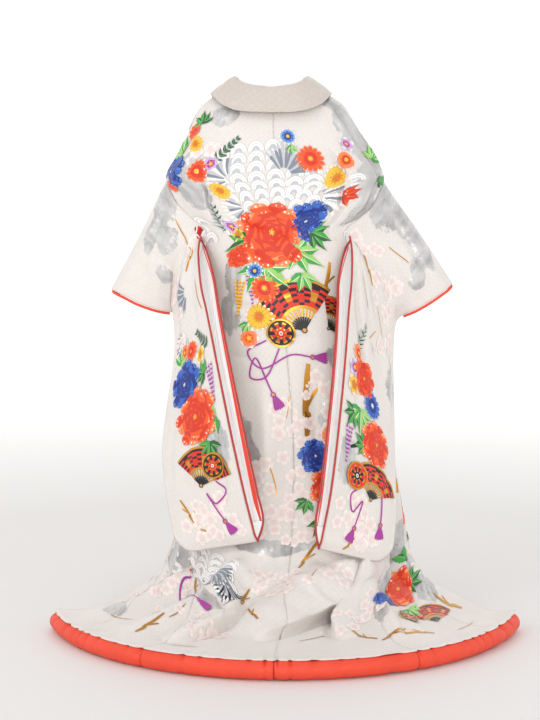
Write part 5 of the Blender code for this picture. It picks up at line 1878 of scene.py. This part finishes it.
# The back of the body between the sleeves, then the shoulders, the train and the two fronts.
BODY_LAYOUT = (
    at("waves", -0.040, 0.275, -6, 0.074, 0, rows=7),
    at("waves", 0.100, 0.318, -14, 0.050, 1, rows=5),
    at("feathered", -0.098, 0.275, -66, 0.078, 4),
    at("feathered", 0.020, 0.260, 20, 0.082, 3, inks=("grey", "pale_grey", "grey")),
    at("feathered", 0.110, 0.325, 72, 0.094, 2),
    at("feathered", -0.085, 0.350, -118, 0.066, 2),
    at("leaves", -0.050, 0.515, 172, 0.085, 6, inks=FRESH_GREENS),
    at("leaves", 0.070, 0.475, 128, 0.070, 6, inks=FRESH_GREENS),
    at("leaves", -0.118, 0.450, -118, 0.062, 6),
    at("peony", -0.018, 0.430, 12, 0.088, 14, inks=SCARLET),
    at("leaves", 0.150, 0.430, 110, 0.058, 6),
    at("peony", 0.108, 0.392, 40, 0.046, 12, inks=BLUE),
    at("daisy", 0.036, 0.158, 0, 0.022, 8, inks=PALE_BLUE, petals=12),
    at("leaves", 0.042, 0.182, 180, 0.026, 6, inks=FRESH_GREENS, blades=3),
    at("daisy", 0.084, 0.218, 10, 0.036, 10, inks=ORANGE, petals=14),
    at("daisy", 0.140, 0.268, 24, 0.034, 10, inks=YELLOW, petals=14),
    at("daisy", 0.168, 0.222, 0, 0.027, 9, inks=CORAL, petals=14),
    at("blossom", 0.186, 0.180, 12, 0.020, 8, inks=LILAC),
    at("leaves", 0.188, 0.318, 80, 0.040, 7, inks=("red", "deep_orange", "gold"), blades=4),
    at("spray", -0.118, 0.192, 42, 0.042, 6),
    at("spray", -0.205, 0.385, 16, 0.048, 4, inks=PALE_GREENS),
    at("daisy", -0.176, 0.250, 0, 0.034, 9, inks=ORANGE, petals=14),
    at("daisy", -0.142, 0.306, 14, 0.028, 10, inks=YELLOW, petals=12),
    at("blossom", -0.150, 0.230, 0, 0.022, 8, inks=LILAC),
    at("blossom", -0.178, 0.412, 10, 0.024, 8, inks=LILAC),
    at("blossom", -0.158, 0.436, 40, 0.021, 9, inks=YELLOW),
    at("peony", -0.140, 0.490, 0, 0.032, 10, inks=ORANGE),
    at("wisteria", -0.128, 0.585, 8, 0.050, 8, inks=("yellow", "ochre"), length=10),
    at("wisteria", -0.092, 0.558, -4, 0.046, 7),
    at("daisy", -0.050, 0.572, 0, 0.036, 12, inks=ORANGE),
    at("daisy", -0.072, 0.642, 8, 0.036, 13, inks=YELLOW),
    at("daisy", -0.078, 0.528, 0, 0.022, 12, inks=PALE_BLUE, petals=12),
    at("blossom", -0.104, 0.695, 20, 0.026, 10, inks=CORAL),
    at("leaves", -0.106, 0.658, -150, 0.034, 8, inks=FRESH_GREENS, blades=3),
    at("fan", 0.056, 0.675, -22, 0.128, 8),
    at("fan", 0.128, 0.672, 62, 0.082, 6, **DARK_FAN),
    at("ball", -0.012, 0.682, 0, 0.036, 14),
    at("leaves", 0.070, 0.536, 178, 0.050, 18, inks=FRESH_GREENS, blades=4),
    at("branch", 0.150, 0.550, 24, 0.052, 2),
    at("twig", -0.010, 0.865, 10, 0.030, 2),
    at("twig", 0.170, 0.860, -24, 0.036, 2),
    at("branch", 0.040, 0.845, 4, 0.092, 2),
    at("twig", -0.052, 1.040, -14, 0.045, 2),
    at("twig", -0.190, 0.900, 16, 0.040, 2),
    at("leaves", 0.078, 1.140, 170, 0.056, 5),
    at("peony", 0.052, 0.985, 0, 0.044, 12, inks=BLUE),
    at("daisy", 0.100, 0.935, 0, 0.032, 10, inks=CORAL, petals=14),
    at("peony", 0.090, 1.060, 30, 0.054, 13, inks=SCARLET),
    at("leaves", 0.034, 1.090, -150, 0.040, 9, blades=4),
    at("branch", 0.045, 1.238, 24, 0.046, 2),
    at("twig", 0.136, 1.232, -10, 0.030, 2),
    at("branch", -0.330, 1.380, -6, 0.030, 2),
    at("twig", 0.075, 1.352, 20, 0.026, 2),
    # left of the train
    at("waves", -0.300, 1.300, 20, 0.072, 1),
    at("waves", -0.235, 1.378, 34, 0.046, 2, rows=4, inks=("grey", "white", "grey")),
    at("feathered", -0.236, 1.330, 150, 0.078, 6, inks=("grey", "grey", "pale_grey")),
    at("feathered", -0.190, 1.392, 160, 0.070, 5, inks=("grey", "black", "pale_grey")),
    at("branch", -0.128, 1.395, 14, 0.040, 3),
    at("branch", -0.095, 1.500, -30, 0.034, 3),
    at("branch", -0.405, 1.640, 14, 0.050, 2),
    at("twig", -0.440, 1.600, 86, 0.036, 2),
    at("twig", -0.345, 1.570, 20, 0.040, 2),
    at("twig", -0.250, 1.700, 80, 0.036, 2),
    at("blossom", -0.500, 1.300, 0, 0.030, 3, inks=GREY),
    at("blossom", -0.470, 1.345, 30, 0.026, 4, inks=WHITE),
    # right of the train
    at("leaves", 0.470, 1.340, 30, 0.062, 5),
    at("leaves", 0.500, 1.425, 80, 0.062, 5),
    at("leaves", 0.442, 1.520, 150, 0.056, 6, inks=FRESH_GREENS),
    at("peony", 0.425, 1.425, 20, 0.080, 14, inks=SCARLET),
    at("peony", 0.352, 1.478, 0, 0.040, 12, inks=BLUE),
    at("fan", 0.512, 1.612, 12, 0.088, 8),
    at("ball", 0.420, 1.572, 0, 0.032, 15),
    at("branch", 0.330, 1.640, 70, 0.046, 2),
    at("branch", 0.400, 1.660, -70, 0.042, 2),
    at("twig", 0.095, 1.590, 64, 0.036, 2),
    at("branch", 0.240, 1.610, -46, 0.040, 2),
    at("twig", 0.560, 1.690, 86, 0.040, 2),
    # shoulders, over to the fronts
    at("leaves", -0.216, 0.122, -30, 0.042, 5),
    at("daisy", -0.234, 0.146, 0, 0.026, 8, inks=ORANGE, petals=12),
    at("leaves", -0.262, 0.200, -40, 0.052, 5, inks=FRESH_GREENS),
    at("peony", -0.254, 0.250, 0, 0.046, 9, inks=BLUE),
    at("daisy", -0.282, 0.290, 0, 0.030, 9, inks=ORANGE, petals=14),
    at("daisy", -0.205, 0.180, 0, 0.024, 8, inks=YELLOW, petals=12),
    at("peony", -0.336, 0.235, 0, 0.044, 10, inks=BLUE),
    at("peony", -0.385, 0.300, 30, 0.050, 11, inks=ORANGE),
    at("spray", -0.300, 0.110, -20, 0.040, 4),
    at("daisy", -0.440, 0.220, 0, 0.030, 9, inks=YELLOW, petals=14),
    at("leaves", 0.262, 0.215, 40, 0.042, 5, inks=FRESH_GREENS),
    at("leaves", 0.282, 0.280, 60, 0.040, 5),
    at("daisy", 0.330, 0.210, 0, 0.032, 9, inks=ORANGE, petals=14),
    at("daisy", 0.352, 0.275, 0, 0.028, 9, inks=YELLOW, petals=14),
    at("peony", 0.410, 0.250, 0, 0.046, 10, inks=BLUE),
    at("spray", 0.445, 0.160, 24, 0.040, 4),
    # left front
    at("waves", -0.430, 0.430, 0, 0.070, 1, rows=5),
    at("leaves", -0.520, 0.640, -160, 0.064, 6, inks=FRESH_GREENS),
    at("leaves", -0.400, 0.610, 120, 0.056, 6),
    at("peony", -0.465, 0.570, 0, 0.074, 13, inks=SCARLET),
    at("daisy", -0.540, 0.520, 0, 0.034, 10, inks=YELLOW),
    at("daisy", -0.392, 0.700, 0, 0.036, 10, inks=ORANGE),
    at("blossom", -0.600, 0.600, 0, 0.026, 8, inks=LILAC),
    at("wisteria", -0.625, 0.700, 0, 0.056, 6),
    at("fan", -0.500, 0.830, 20, 0.105, 8),
    at("ball", -0.430, 0.800, 0, 0.034, 14),
    at("branch", -0.610, 0.900, -14, 0.080, 2),
    at("peony", -0.600, 1.120, 0, 0.056, 12, inks=BLUE),
    at("peony", -0.530, 1.170, 0, 0.064, 13, inks=ORANGE),
    at("leaves", -0.560, 1.230, 180, 0.056, 6),
    at("branch", -0.420, 1.030, 10, 0.070, 2),
    at("daisy", -0.640, 1.330, 0, 0.036, 8, inks=YELLOW),
    at("branch", -0.620, 1.520, 30, 0.060, 2),
    at("twig", -0.690, 1.150, 10, 0.040, 2),
    at("twig", -0.560, 1.620, 70, 0.040, 2),
    # right front
    at("waves", 0.440, 0.440, 0, 0.066, 1, rows=5),
    at("peony", 0.480, 0.540, 0, 0.060, 13, inks=ORANGE),
    at("peony", 0.400, 0.560, 0, 0.044, 12, inks=BLUE),
    at("leaves", 0.450, 0.640, 180, 0.060, 6),
    at("daisy", 0.540, 0.620, 0, 0.036, 10, inks=YELLOW),
    at("daisy", 0.620, 0.560, 0, 0.032, 10, inks=CORAL),
    at("spray", 0.610, 0.700, 10, 0.060, 4),
    at("fan", 0.430, 0.860, -24, 0.100, 8, **DARK_FAN),
    at("ball", 0.540, 0.850, 0, 0.038, 14),
    at("branch", 0.620, 0.960, 16, 0.080, 2),
    at("branch", 0.440, 1.060, -8, 0.070, 2),
    at("waves", 0.630, 1.180, 10, 0.070, 1),
    at("peony", 0.560, 1.200, 0, 0.056, 13, inks=SCARLET),
    at("leaves", 0.620, 1.260, 140, 0.056, 6),
    at("daisy", 0.660, 1.400, 0, 0.036, 8, inks=ORANGE),
    at("branch", 0.640, 1.560, -24, 0.060, 2),
)
SLEEVE_LAYOUT = {
    LEFT: (
        at("feathered", 0.100, 0.290, 84, 0.058, 2, inks=("grey", "pale_grey", "grey")),
        at("feathered", 0.150, 0.360, 120, 0.062, 2, inks=("pale_grey", "grey", "white")),
        at("blossom", 0.018, 0.196, 10, 0.019, 12, inks=KNOT_RED),
        at("twig", 0.060, 0.150, -20, 0.045, 2),
        at("branch", 0.050, 0.235, -48, 0.042, 2),
        at("twig", 0.030, 0.330, 10, 0.040, 2),
        at("spray", 0.060, 0.418, 36, 0.040, 5),
        at("leaves", 0.215, 0.420, -50, 0.038, 5, inks=FRESH_GREENS),
        at("daisy", 0.135, 0.420, 0, 0.024, 9, inks=ORANGE, petals=12),
        at("blossom", 0.080, 0.450, 0, 0.022, 9, inks=YELLOW),
        at("daisy", 0.180, 0.402, 0, 0.020, 9, inks=CORAL, petals=12),
        at("wisteria", 0.040, 0.520, 0, 0.052, 5),
        at("leaves", 0.070, 0.500, 60, 0.042, 6),
        at("peony", 0.190, 0.488, 0, 0.056, 12, inks=BLUE),
        at("leaves", 0.050, 0.612, 100, 0.056, 6, inks=FRESH_GREENS),
        at("leaves", 0.095, 0.668, 165, 0.046, 6),
        at("peony", 0.142, 0.590, 16, 0.070, 15, inks=SCARLET),
        at("fan", 0.165, 0.775, -20, 0.094, 8),
        at("ball", 0.100, 0.728, 0, 0.032, 14),
        at("twig", 0.215, 0.870, 10, 0.030, 2),
        at("branch", 0.250, 0.840, 20, 0.034, 2),
        at("branch", 0.170, 0.912, 60, 0.030, 2),
        # front panel
        at("peony", 0.180, 1.330, 0, 0.062, 13, inks=ORANGE),
        at("leaves", 0.120, 1.400, -40, 0.050, 6),
        at("peony", 0.120, 1.270, 0, 0.046, 12, inks=BLUE),
        at("daisy", 0.230, 1.450, 0, 0.036, 10, inks=YELLOW),
        at("fan", 0.140, 1.170, 190, 0.090, 8, **DARK_FAN),
        at("branch", 0.200, 1.620, 40, 0.060, 2),
        at("spray", 0.100, 1.540, 20, 0.050, 4),
        at("twig", 0.150, 1.760, 80, 0.050, 2),
        at("daisy", 0.230, 1.060, 0, 0.030, 8, inks=CORAL, petals=14),
    ),
    RIGHT: (
        at("branch", 0.090, 0.232, -58, 0.046, 2),
        at("twig", 0.080, 0.300, -44, 0.036, 2),
        at("twig", 0.200, 0.300, -40, 0.032, 2),
        at("twig", 0.150, 0.360, 40, 0.030, 2),
        at("twig", 0.160, 0.120, 70, 0.036, 2),
        at("spray", 0.085, 0.400, 10, 0.042, 5, inks=PALE_GREENS),
        at("daisy", 0.070, 0.448, 0, 0.024, 9, inks=CORAL, petals=12),
        at("blossom", 0.050, 0.490, 0, 0.022, 9, inks=LILAC),
        at("peony", 0.115, 0.492, 10, 0.044, 12, inks=ORANGE),
        at("blossom", 0.055, 0.530, 30, 0.024, 9, inks=YELLOW),
        at("leaves", 0.105, 0.575, 178, 0.060, 7, inks=FRESH_GREENS),
        at("leaves", 0.070, 0.590, -150, 0.048, 8),
        at("daisy", 0.170, 0.540, 0, 0.034, 11, inks=BLUE, petals=14),
        at("branch", 0.130, 0.650, 60, 0.050, 3, inks=("black",)),
        at("leaves", 0.140, 0.660, -60, 0.044, 8),
        at("peony", 0.200, 0.640, 20, 0.056, 14, inks=SCARLET),
        at("wisteria", 0.050, 0.660, 0, 0.050, 5),
        at("fan", 0.190, 0.800, 14, 0.092, 8),
        at("ball", 0.110, 0.745, 0, 0.034, 14, ground="red", figures=("black", "gold")),
        at("twig", 0.160, 0.850, 4, 0.034, 2),
        at("branch", 0.135, 0.915, 40, 0.036, 2),
        # front panel
        at("peony", 0.160, 1.300, 0, 0.064, 13, inks=SCARLET),
        at("leaves", 0.100, 1.370, -30, 0.052, 6, inks=FRESH_GREENS),
        at("peony", 0.220, 1.380, 0, 0.046, 12, inks=BLUE),
        at("daisy", 0.120, 1.460, 0, 0.036, 10, inks=ORANGE),
        at("fan", 0.180, 1.160, 170, 0.090, 8),
        at("branch", 0.150, 1.620, -30, 0.060, 2),
        at("daisy", 0.240, 1.540, 0, 0.030, 8, inks=YELLOW, petals=14),
        at("twig", 0.140, 1.770, 84, 0.050, 2),
    ),
}
BODY_CORDS = (
    ((-0.055, 0.700), (-0.110, 0.730), (-0.070, 0.770), (0.010, 0.736), (0.070, 0.742)),
    ((-0.020, 0.720), (-0.060, 0.790), (-0.105, 0.792), (-0.086, 0.745), (-0.045, 0.835)),
    ((-0.372, 1.362), (-0.420, 1.400), (-0.405, 1.470), (-0.340, 1.490), (-0.285, 1.500)),
    ((-0.480, 0.850), (-0.430, 0.920), (-0.500, 0.960), (-0.540, 0.900), (-0.470, 1.040)),
    ((0.470, 0.880), (0.520, 0.950), (0.450, 1.000), (0.500, 1.080)),
)
SLEEVE_CORDS = {
    LEFT: (((0.100, 0.770), (0.070, 0.800), (0.120, 0.830), (0.150, 0.800), (0.100, 0.880)),),
    RIGHT: (((0.120, 0.780), (0.090, 0.800), (0.110, 0.840), (0.150, 0.810), (0.130, 0.880)),
            ((0.245, 0.780), (0.250, 0.830), (0.252, 0.862))),
}
# Drifts of pale blossoms: middle, reach across and along, and how many.
Drift = namedtuple("Drift", "across along wide deep count")
BODY_DRIFTS = rows_of(Drift, (
    (0.060, 0.880, 0.130, 0.090, 26), (-0.060, 1.080, 0.130, 0.100, 26), (0.030, 1.150, 0.100, 0.050, 16),
    (0.020, 1.340, 0.150, 0.070, 24), (-0.440, 1.430, 0.110, 0.110, 22), (-0.170, 0.230, 0.080, 0.050, 6),
    (0.240, 1.520, 0.130, 0.080, 14), (0.600, 1.300, 0.110, 0.140, 16), (-0.620, 1.420, 0.100, 0.150, 16),
    (0.450, 0.740, 0.110, 0.060, 14), (-0.480, 0.980, 0.120, 0.080, 16), (0.500, 1.000, 0.120, 0.060, 14),
    (-0.250, 1.560, 0.100, 0.060, 10), (0.190, 0.790, 0.070, 0.060, 8),
))
SLEEVE_DRIFTS = rows_of(Drift, (
    (0.150, 0.210, 0.130, 0.060, 16), (0.140, 0.870, 0.130, 0.070, 24), (0.230, 0.340, 0.080, 0.080, 9),
    (0.170, 1.050, 0.130, 0.060, 18), (0.170, 1.680, 0.130, 0.090, 18),
))
DRIFT_SEED = 11
DRIFT_TURN = 72
DRIFT_SIZES = (0.014, 0.021)
DRIFT_LAYERS = 2


ARMHOLE_FROM = 0.245
OVERLAP_FROM = 0.392
COLLAR_COVERS = 0.060
MOTIFS_END = 1.735
EDGE_MARGIN = 0.004
FOLD_MARGIN = 0.01


class BodySurface:
    """The six body panels read as one cloth; it keeps the faces whose first corner is on its side."""

    def __init__(self, cloths, side):
        self.cloths = cloths
        self.side = side

    def read(self, across, along):
        points, normals = np.zeros((len(across), 3)), np.zeros((len(across), 3))
        panels = np.digitize(np.abs(across), (HALF_WIDTH * SIDE_SEAM, HALF_WIDTH * OVERLAP_SEAM))
        panels = panels + 3 * (across > 0)
        for (side, piece), cloth in self.cloths.items():
            mine = panels == BODY_PIECES.index(piece) + 3 * (side > 0)
            if mine.any():
                points[mine], normals[mine] = cloth.read(across[mine], along[mine])
        return points, normals, panels

    def holds(self, places, panels):
        """True where the cloth is: short of the hem roll, under the collar, and within the overlap."""
        along = places[:, 1]
        low = np.where(panels % 3 == 2, OVERLAP_FROM, COLLAR_COVERS)
        return (along > low) & (along < MOTIFS_END) & (np.abs(places[:, 0]) < HALF_WIDTH - EDGE_MARGIN)

    def one_sheet(self, places, panels, faces):
        """False for a face that bridges back and front across an armhole."""
        kinds = panels[faces] % 3
        bridges = (kinds == 0).any(axis=1) & (kinds == 1).any(axis=1)
        along = places[faces, 1]
        near = (along.max(axis=1) > ARMHOLE_FROM) & (along.min(axis=1) < ARMHOLE_TO)
        mine = places[faces[:, 0], 0] * self.side > 0
        return ~(bridges & near) & mine


class BagSurface:
    """One sleeve's bag, down its back panel and up its front one."""

    def __init__(self, bag):
        self.bag = bag

    def read(self, across, along):
        points, normals = self.bag.read(across, along)
        return points, normals, np.zeros(len(across), int)

    def holds(self, places, panels):
        across, along = places.T
        inside = (across > EDGE_MARGIN) & (across < SLEEVE_WIDTH - EDGE_MARGIN)
        return inside & (along > FOLD_MARGIN) & (along < 2 * SLEEVE_LENGTH - FOLD_MARGIN)

    def one_sheet(self, places, panels, faces):
        return np.ones(len(faces), bool)


def draw(design, layout, cords, drifts, rng):
    """All the motifs of one stretch, the pale drifts lowest."""
    for drift in drifts:
        for _ in range(drift.count):
            turn, out = rng.uniform(0, 2 * math.pi), math.sqrt(rng.random())
            design.spot(drift.across + drift.wide * out * math.cos(turn),
                        drift.along + drift.deep * out * math.sin(turn),
                        rng.uniform(0, DRIFT_TURN), rng.uniform(*DRIFT_SIZES), rng.uniform(0, DRIFT_LAYERS))
            blossom(design, DRIFT_INKS)
    for motif in layout:
        design.spot(motif.across, motif.along, motif.turn, motif.size, motif.layer)
        MOTIFS[motif.kind](design, **motif.options)
    for corners in cords:
        cord(design, corners)


# ---------------------------------------------------------------- the scene

# Width of the red strip inside each sleeve's inner edge, at the top and further down.
FURI_HEM = {LEFT: (0.0040, 0.0130), RIGHT: (0.0030, 0.0050)}
FURI_HEM_RED = (0.80, 0.055, 0.03)
IVORY, IVORY_FIGURE = (0.785, 0.742, 0.705), (0.81, 0.77, 0.735)
# Painted shade: the collar's ivory and figure are darker than the robe's, so that the collar, lit full by
# the lamps above, reads no brighter than the robe.
COLLAR_SHADED_IVORY, COLLAR_SHADED_FIGURE = (0.63, 0.565, 0.515), (0.66, 0.595, 0.545)
LINING_WHITE = (0.92, 0.915, 0.91)
VERMILION = (0.87, 0.070, 0.028)
PIPING_RED = (0.50, 0.034, 0.028)
LINING_SHEEN = 0.10
# Painted light: the white lining silks give off light of their own colour, so that they read bright inside
# the robe's shaded hollows.
LINING_PAINTED_GLOW, FURI_PAINTED_GLOW = 0.16, 0.10
FURI_PLEATS = 180.0
# The shells of the small cloths are thinner than the walls of their solids.
LINING_SHELL = {"sleeve": LINING_WALL * 0.7, "collar": LINING_WALL * 0.8}
COLLAR_SHELL = COLLAR_WALL * 0.8
WELD_WITHIN = 0.0001


def panel_slot(along):
    """Row slot of a body panel: its lower rows have the vermilion facing inside."""
    return 1 if along > FACING_START else 0


def place_piece(obj, slot, *nodes):
    """Give a piece its body and hide the solids that it stands for; its colour slot `slot` is not used."""
    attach(obj, "root")
    if nodes:
        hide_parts(*nodes)
    return obj


def build_body(silk, white, red):
    """The six panels; returns their cloths by side and piece, and their objects by node."""
    alongs = body_alongs()
    cloths, objects = {}, {}
    for side in (LEFT, RIGHT):
        for piece in BODY_PIECES:
            cloth = body_cloth(side, piece, alongs)
            name = f"{piece}_{SIDE_NAMES[side]}"
            obj = grid_mesh(f"{piece}_panel_{SIDE_NAMES[side]}", cloth, (silk, silk, white, red), panel_slot,
                            foil=BODY_FOIL)
            thicken(obj, SHELL, 2)
            place_piece(obj, "ivory_brocade", name)
            cloths[side, piece], objects[name] = cloth, obj
    return cloths, objects


def build_sleeves(silk, white, body_cloths):
    """The two bags; returns their cloths and their objects by side."""
    bags, objects = {}, {}
    for side in (LEFT, RIGHT):
        back, front = sleeve_cloth(side, body_cloths)
        bag = joined(back, front)
        name = SIDE_NAMES[side]
        obj = grid_mesh(f"sleeve_bag_{name}", bag, (silk, white), extra_faces=sleeve_closing(bag),
                        foil=SLEEVE_FOIL[side])
        weld = obj.modifiers.new("top fold", 'WELD')
        weld.merge_threshold = WELD_WITHIN
        thicken(obj, SHELL, 1)
        place_piece(obj, "ivory_brocade", f"sleeve_back_{name}", f"sleeve_front_{name}")
        bags[side], objects[side] = bag, obj
    return bags, objects


def build_motifs(body_cloths, bags):
    """The painted and stitched motifs: one piece on each half of the body and one on each sleeve."""
    inks = ink_materials()
    rng = random.Random(DRIFT_SEED)
    pieces = {}
    for side in (LEFT, RIGHT):
        name = SIDE_NAMES[side]
        body = Design(BodySurface(body_cloths, side))
        draw(body, BODY_LAYOUT, BODY_CORDS, BODY_DRIFTS, rng)
        pieces[f"body_{name}"] = place_piece(body.make(f"motifs_body_{name}", inks), "ivory_brocade")
        sleeve = Design(BagSurface(bags[side]))
        draw(sleeve, SLEEVE_LAYOUT[side], SLEEVE_CORDS[side], SLEEVE_DRIFTS, rng)
        pieces[f"sleeve_{name}"] = place_piece(sleeve.make(f"motifs_sleeve_{name}", inks), "ivory_brocade")
    return pieces


def finish_sleeve(side, bag, folded_white, piping_red, red):
    """A sleeve's inner lining and its two pipings."""
    name = SIDE_NAMES[side]
    lining = grid_mesh(f"sleeve_inner_{name}", sleeve_lining_cloth(side), (folded_white,))
    thicken(lining, LINING_SHELL["sleeve"], 0)
    place_piece(lining, "white_lining", f"sleeve_lining_{name}")
    furi = place_piece(furi_piping(bag, side, piping_red), "red_piping", f"furi_piping_{name}")
    cuff = place_piece(cuff_piping(bag, side, red), "vermilion_silk", f"cuff_piping_{name}")


def build_rolls(side, red):
    """The two padded lengths of one side's hem."""
    for piece, start, end in (("back", 0.0, SIDE_SEAM), ("front", SIDE_SEAM, 1.0)):
        roll = hem_roll(side, piece, start, end, red)
        place_piece(roll, "vermilion_silk", f"hem_roll_{piece}_{SIDE_NAMES[side]}")


def build_folded(name, cloth, slots, shell, slot, node):
    """A folded cloth that is all shown: the collar, or its inner edge."""
    obj = grid_mesh(name, cloth, slots)
    thicken(obj, shell, 0)
    place_piece(obj, slot, node)


def main():
    silk = woven_silk("ivory_satin", IVORY, IVORY_FIGURE, roughness=0.46, cell=0.034, foiled=True)
    collar_silk = woven_silk("collar_satin", COLLAR_SHADED_IVORY, COLLAR_SHADED_FIGURE, roughness=0.44, cell=0.040)
    white = plain_silk("white_lining_silk", LINING_WHITE, sheen=LINING_SHEEN, glow=LINING_PAINTED_GLOW)
    folded_white = {side: plain_silk(f"furi_lining_silk_{SIDE_NAMES[side]}", LINING_WHITE,
                                     sheen=LINING_SHEEN, glow=FURI_PAINTED_GLOW, pleats=FURI_PLEATS,
                                     hem=(FURI_HEM_RED, *FURI_HEM[side])) for side in (LEFT, RIGHT)}
    red = plain_silk("vermilion_roll_silk", VERMILION)
    piping_red = plain_silk("furi_red_silk", PIPING_RED, roughness=0.50)

    body_cloths, body_objects = build_body(silk, white, red)
    bags, sleeve_objects = build_sleeves(silk, white, body_cloths)
    motifs = build_motifs(body_cloths, bags)
    for side in (LEFT, RIGHT):
        finish_sleeve(side, bags[side],
                      folded_white[side], piping_red, red)
        build_rolls(side, red)
    build_folded("collar_band", collar_cloth(), (collar_silk, white), COLLAR_SHELL,
                 "ivory_collar_satin", "collar")
    build_folded("collar_inner_edge", collar_edge_cloth(), (white,), LINING_SHELL["collar"],
                 "white_lining", "collar_lining")
    make_floor()
    make_lights()
    make_camera()
    bpy.context.scene.view_settings.view_transform = 'Standard'


# ---------------------------------------------------------------- floor, light and camera

FLOOR_RINGS = (0.001, 1.0, 1.4, 1.8, 2.3, 2.9, 3.6, 4.4, 5.2)
FLOOR_FLAT = 6.0
FLOOR_BEND = 3.0
BEND_STEPS = 13
WALL_HEIGHT = 7.0
ROOM_SIDES = 72
FLOOR_COLOUR = (0.82, 0.81, 0.80)
WALL_GLOW = 0.38
GLOW_FROM, GLOW_TO = 1.4, 5.0
SKY_COLOUR, SKY_STRENGTH = (1.0, 0.995, 0.99, 1), 0.68
Lamp = namedtuple("Lamp", "name x y z size energy colour")
LAMPS = rows_of(Lamp, (
    ("key", -2.9, -2.2, 2.0, 1.0, 17, (1.0, 0.98, 0.96)),
    ("front", 0.3, -4.9, 0.1, 1.2, 36, (1.0, 0.99, 0.98)),
    ("rim", 0.6, 3.2, 2.6, 2.0, 10, (1.0, 0.98, 0.95)),
    ("top", 0.0, -0.8, 3.0, 1.2, 6, (1.0, 1.0, 1.0)),
))
LAMPS_AIM = Vector((0, 0, -0.5))
CAMERA_BACK = 4.0
CAMERA_HEIGHT = 1.0
CAMERA_TILT = math.radians(5.39)
CAMERA_LENS = 79.0
SENSOR = 36.0


def make_floor():
    """A plain pale floor that bends up all round into a wall, lit from within only far from the robe."""
    bend = np.linspace(0, math.pi / 2, BEND_STEPS)
    flat = np.array(FLOOR_RINGS)
    reach = np.concatenate((flat, FLOOR_FLAT + FLOOR_BEND * np.sin(bend), [FLOOR_FLAT + FLOOR_BEND]))
    rise = np.concatenate((flat * 0, FLOOR_BEND * (1 - np.cos(bend)), [WALL_HEIGHT]))
    turns = np.linspace(0, 2 * math.pi, ROOM_SIDES, endpoint=False)
    points = [(out * math.cos(turn), out * math.sin(turn), up - WEARER_HEIGHT)
              for out, up in zip(reach, rise) for turn in turns]
    mesh = bpy.data.meshes.new("floor")
    mesh.from_pydata(points, [], ring_faces(len(reach), ROOM_SIDES))
    mesh.shade_smooth()
    lit = np.clip((reach - GLOW_FROM) / (GLOW_TO - GLOW_FROM), 0, 1)
    set_attribute(mesh, "lit", np.repeat(lit, ROOM_SIDES))
    look = Look("pale_floor", FLOOR_COLOUR, roughness=0.6)
    glow = look.math('MULTIPLY', look.painted("lit"), WALL_GLOW)
    look.feed(look.shader, {"Emission Color": (1, 1, 1), "Emission Strength": glow})
    mesh.materials.append(look.material)
    add_object("floor", mesh)


def make_lights():
    """A pale sky and large soft lamps."""
    world = bpy.data.worlds.new("studio")
    bpy.context.scene.world = world
    world.use_nodes = True
    background = world.node_tree.nodes["Background"]
    background.inputs["Color"].default_value = SKY_COLOUR
    background.inputs["Strength"].default_value = SKY_STRENGTH
    for lamp in LAMPS:
        light = bpy.data.lights.new(lamp.name, 'AREA')
        light.energy = lamp.energy
        light.size = lamp.size
        light.color = lamp.colour
        holder = add_object(lamp.name, light)
        holder.location = (lamp.x, lamp.y, lamp.z)
        holder.rotation_euler = (LAMPS_AIM - holder.location).to_track_quat('-Z', 'Y').to_euler()


def make_camera():
    """The photograph's camera: behind the robe, a little above its middle and tilted down."""
    camera = bpy.data.cameras.new("camera")
    camera.sensor_fit = 'VERTICAL'
    camera.sensor_height = SENSOR
    camera.lens = CAMERA_LENS
    holder = add_object("camera", camera)
    holder.location = (0, -CAMERA_BACK, CAMERA_HEIGHT - WEARER_HEIGHT)
    holder.rotation_euler = (math.radians(90) - CAMERA_TILT, 0, 0)
    bpy.context.scene.camera = holder


main()
bpy.context.view_layer.update()
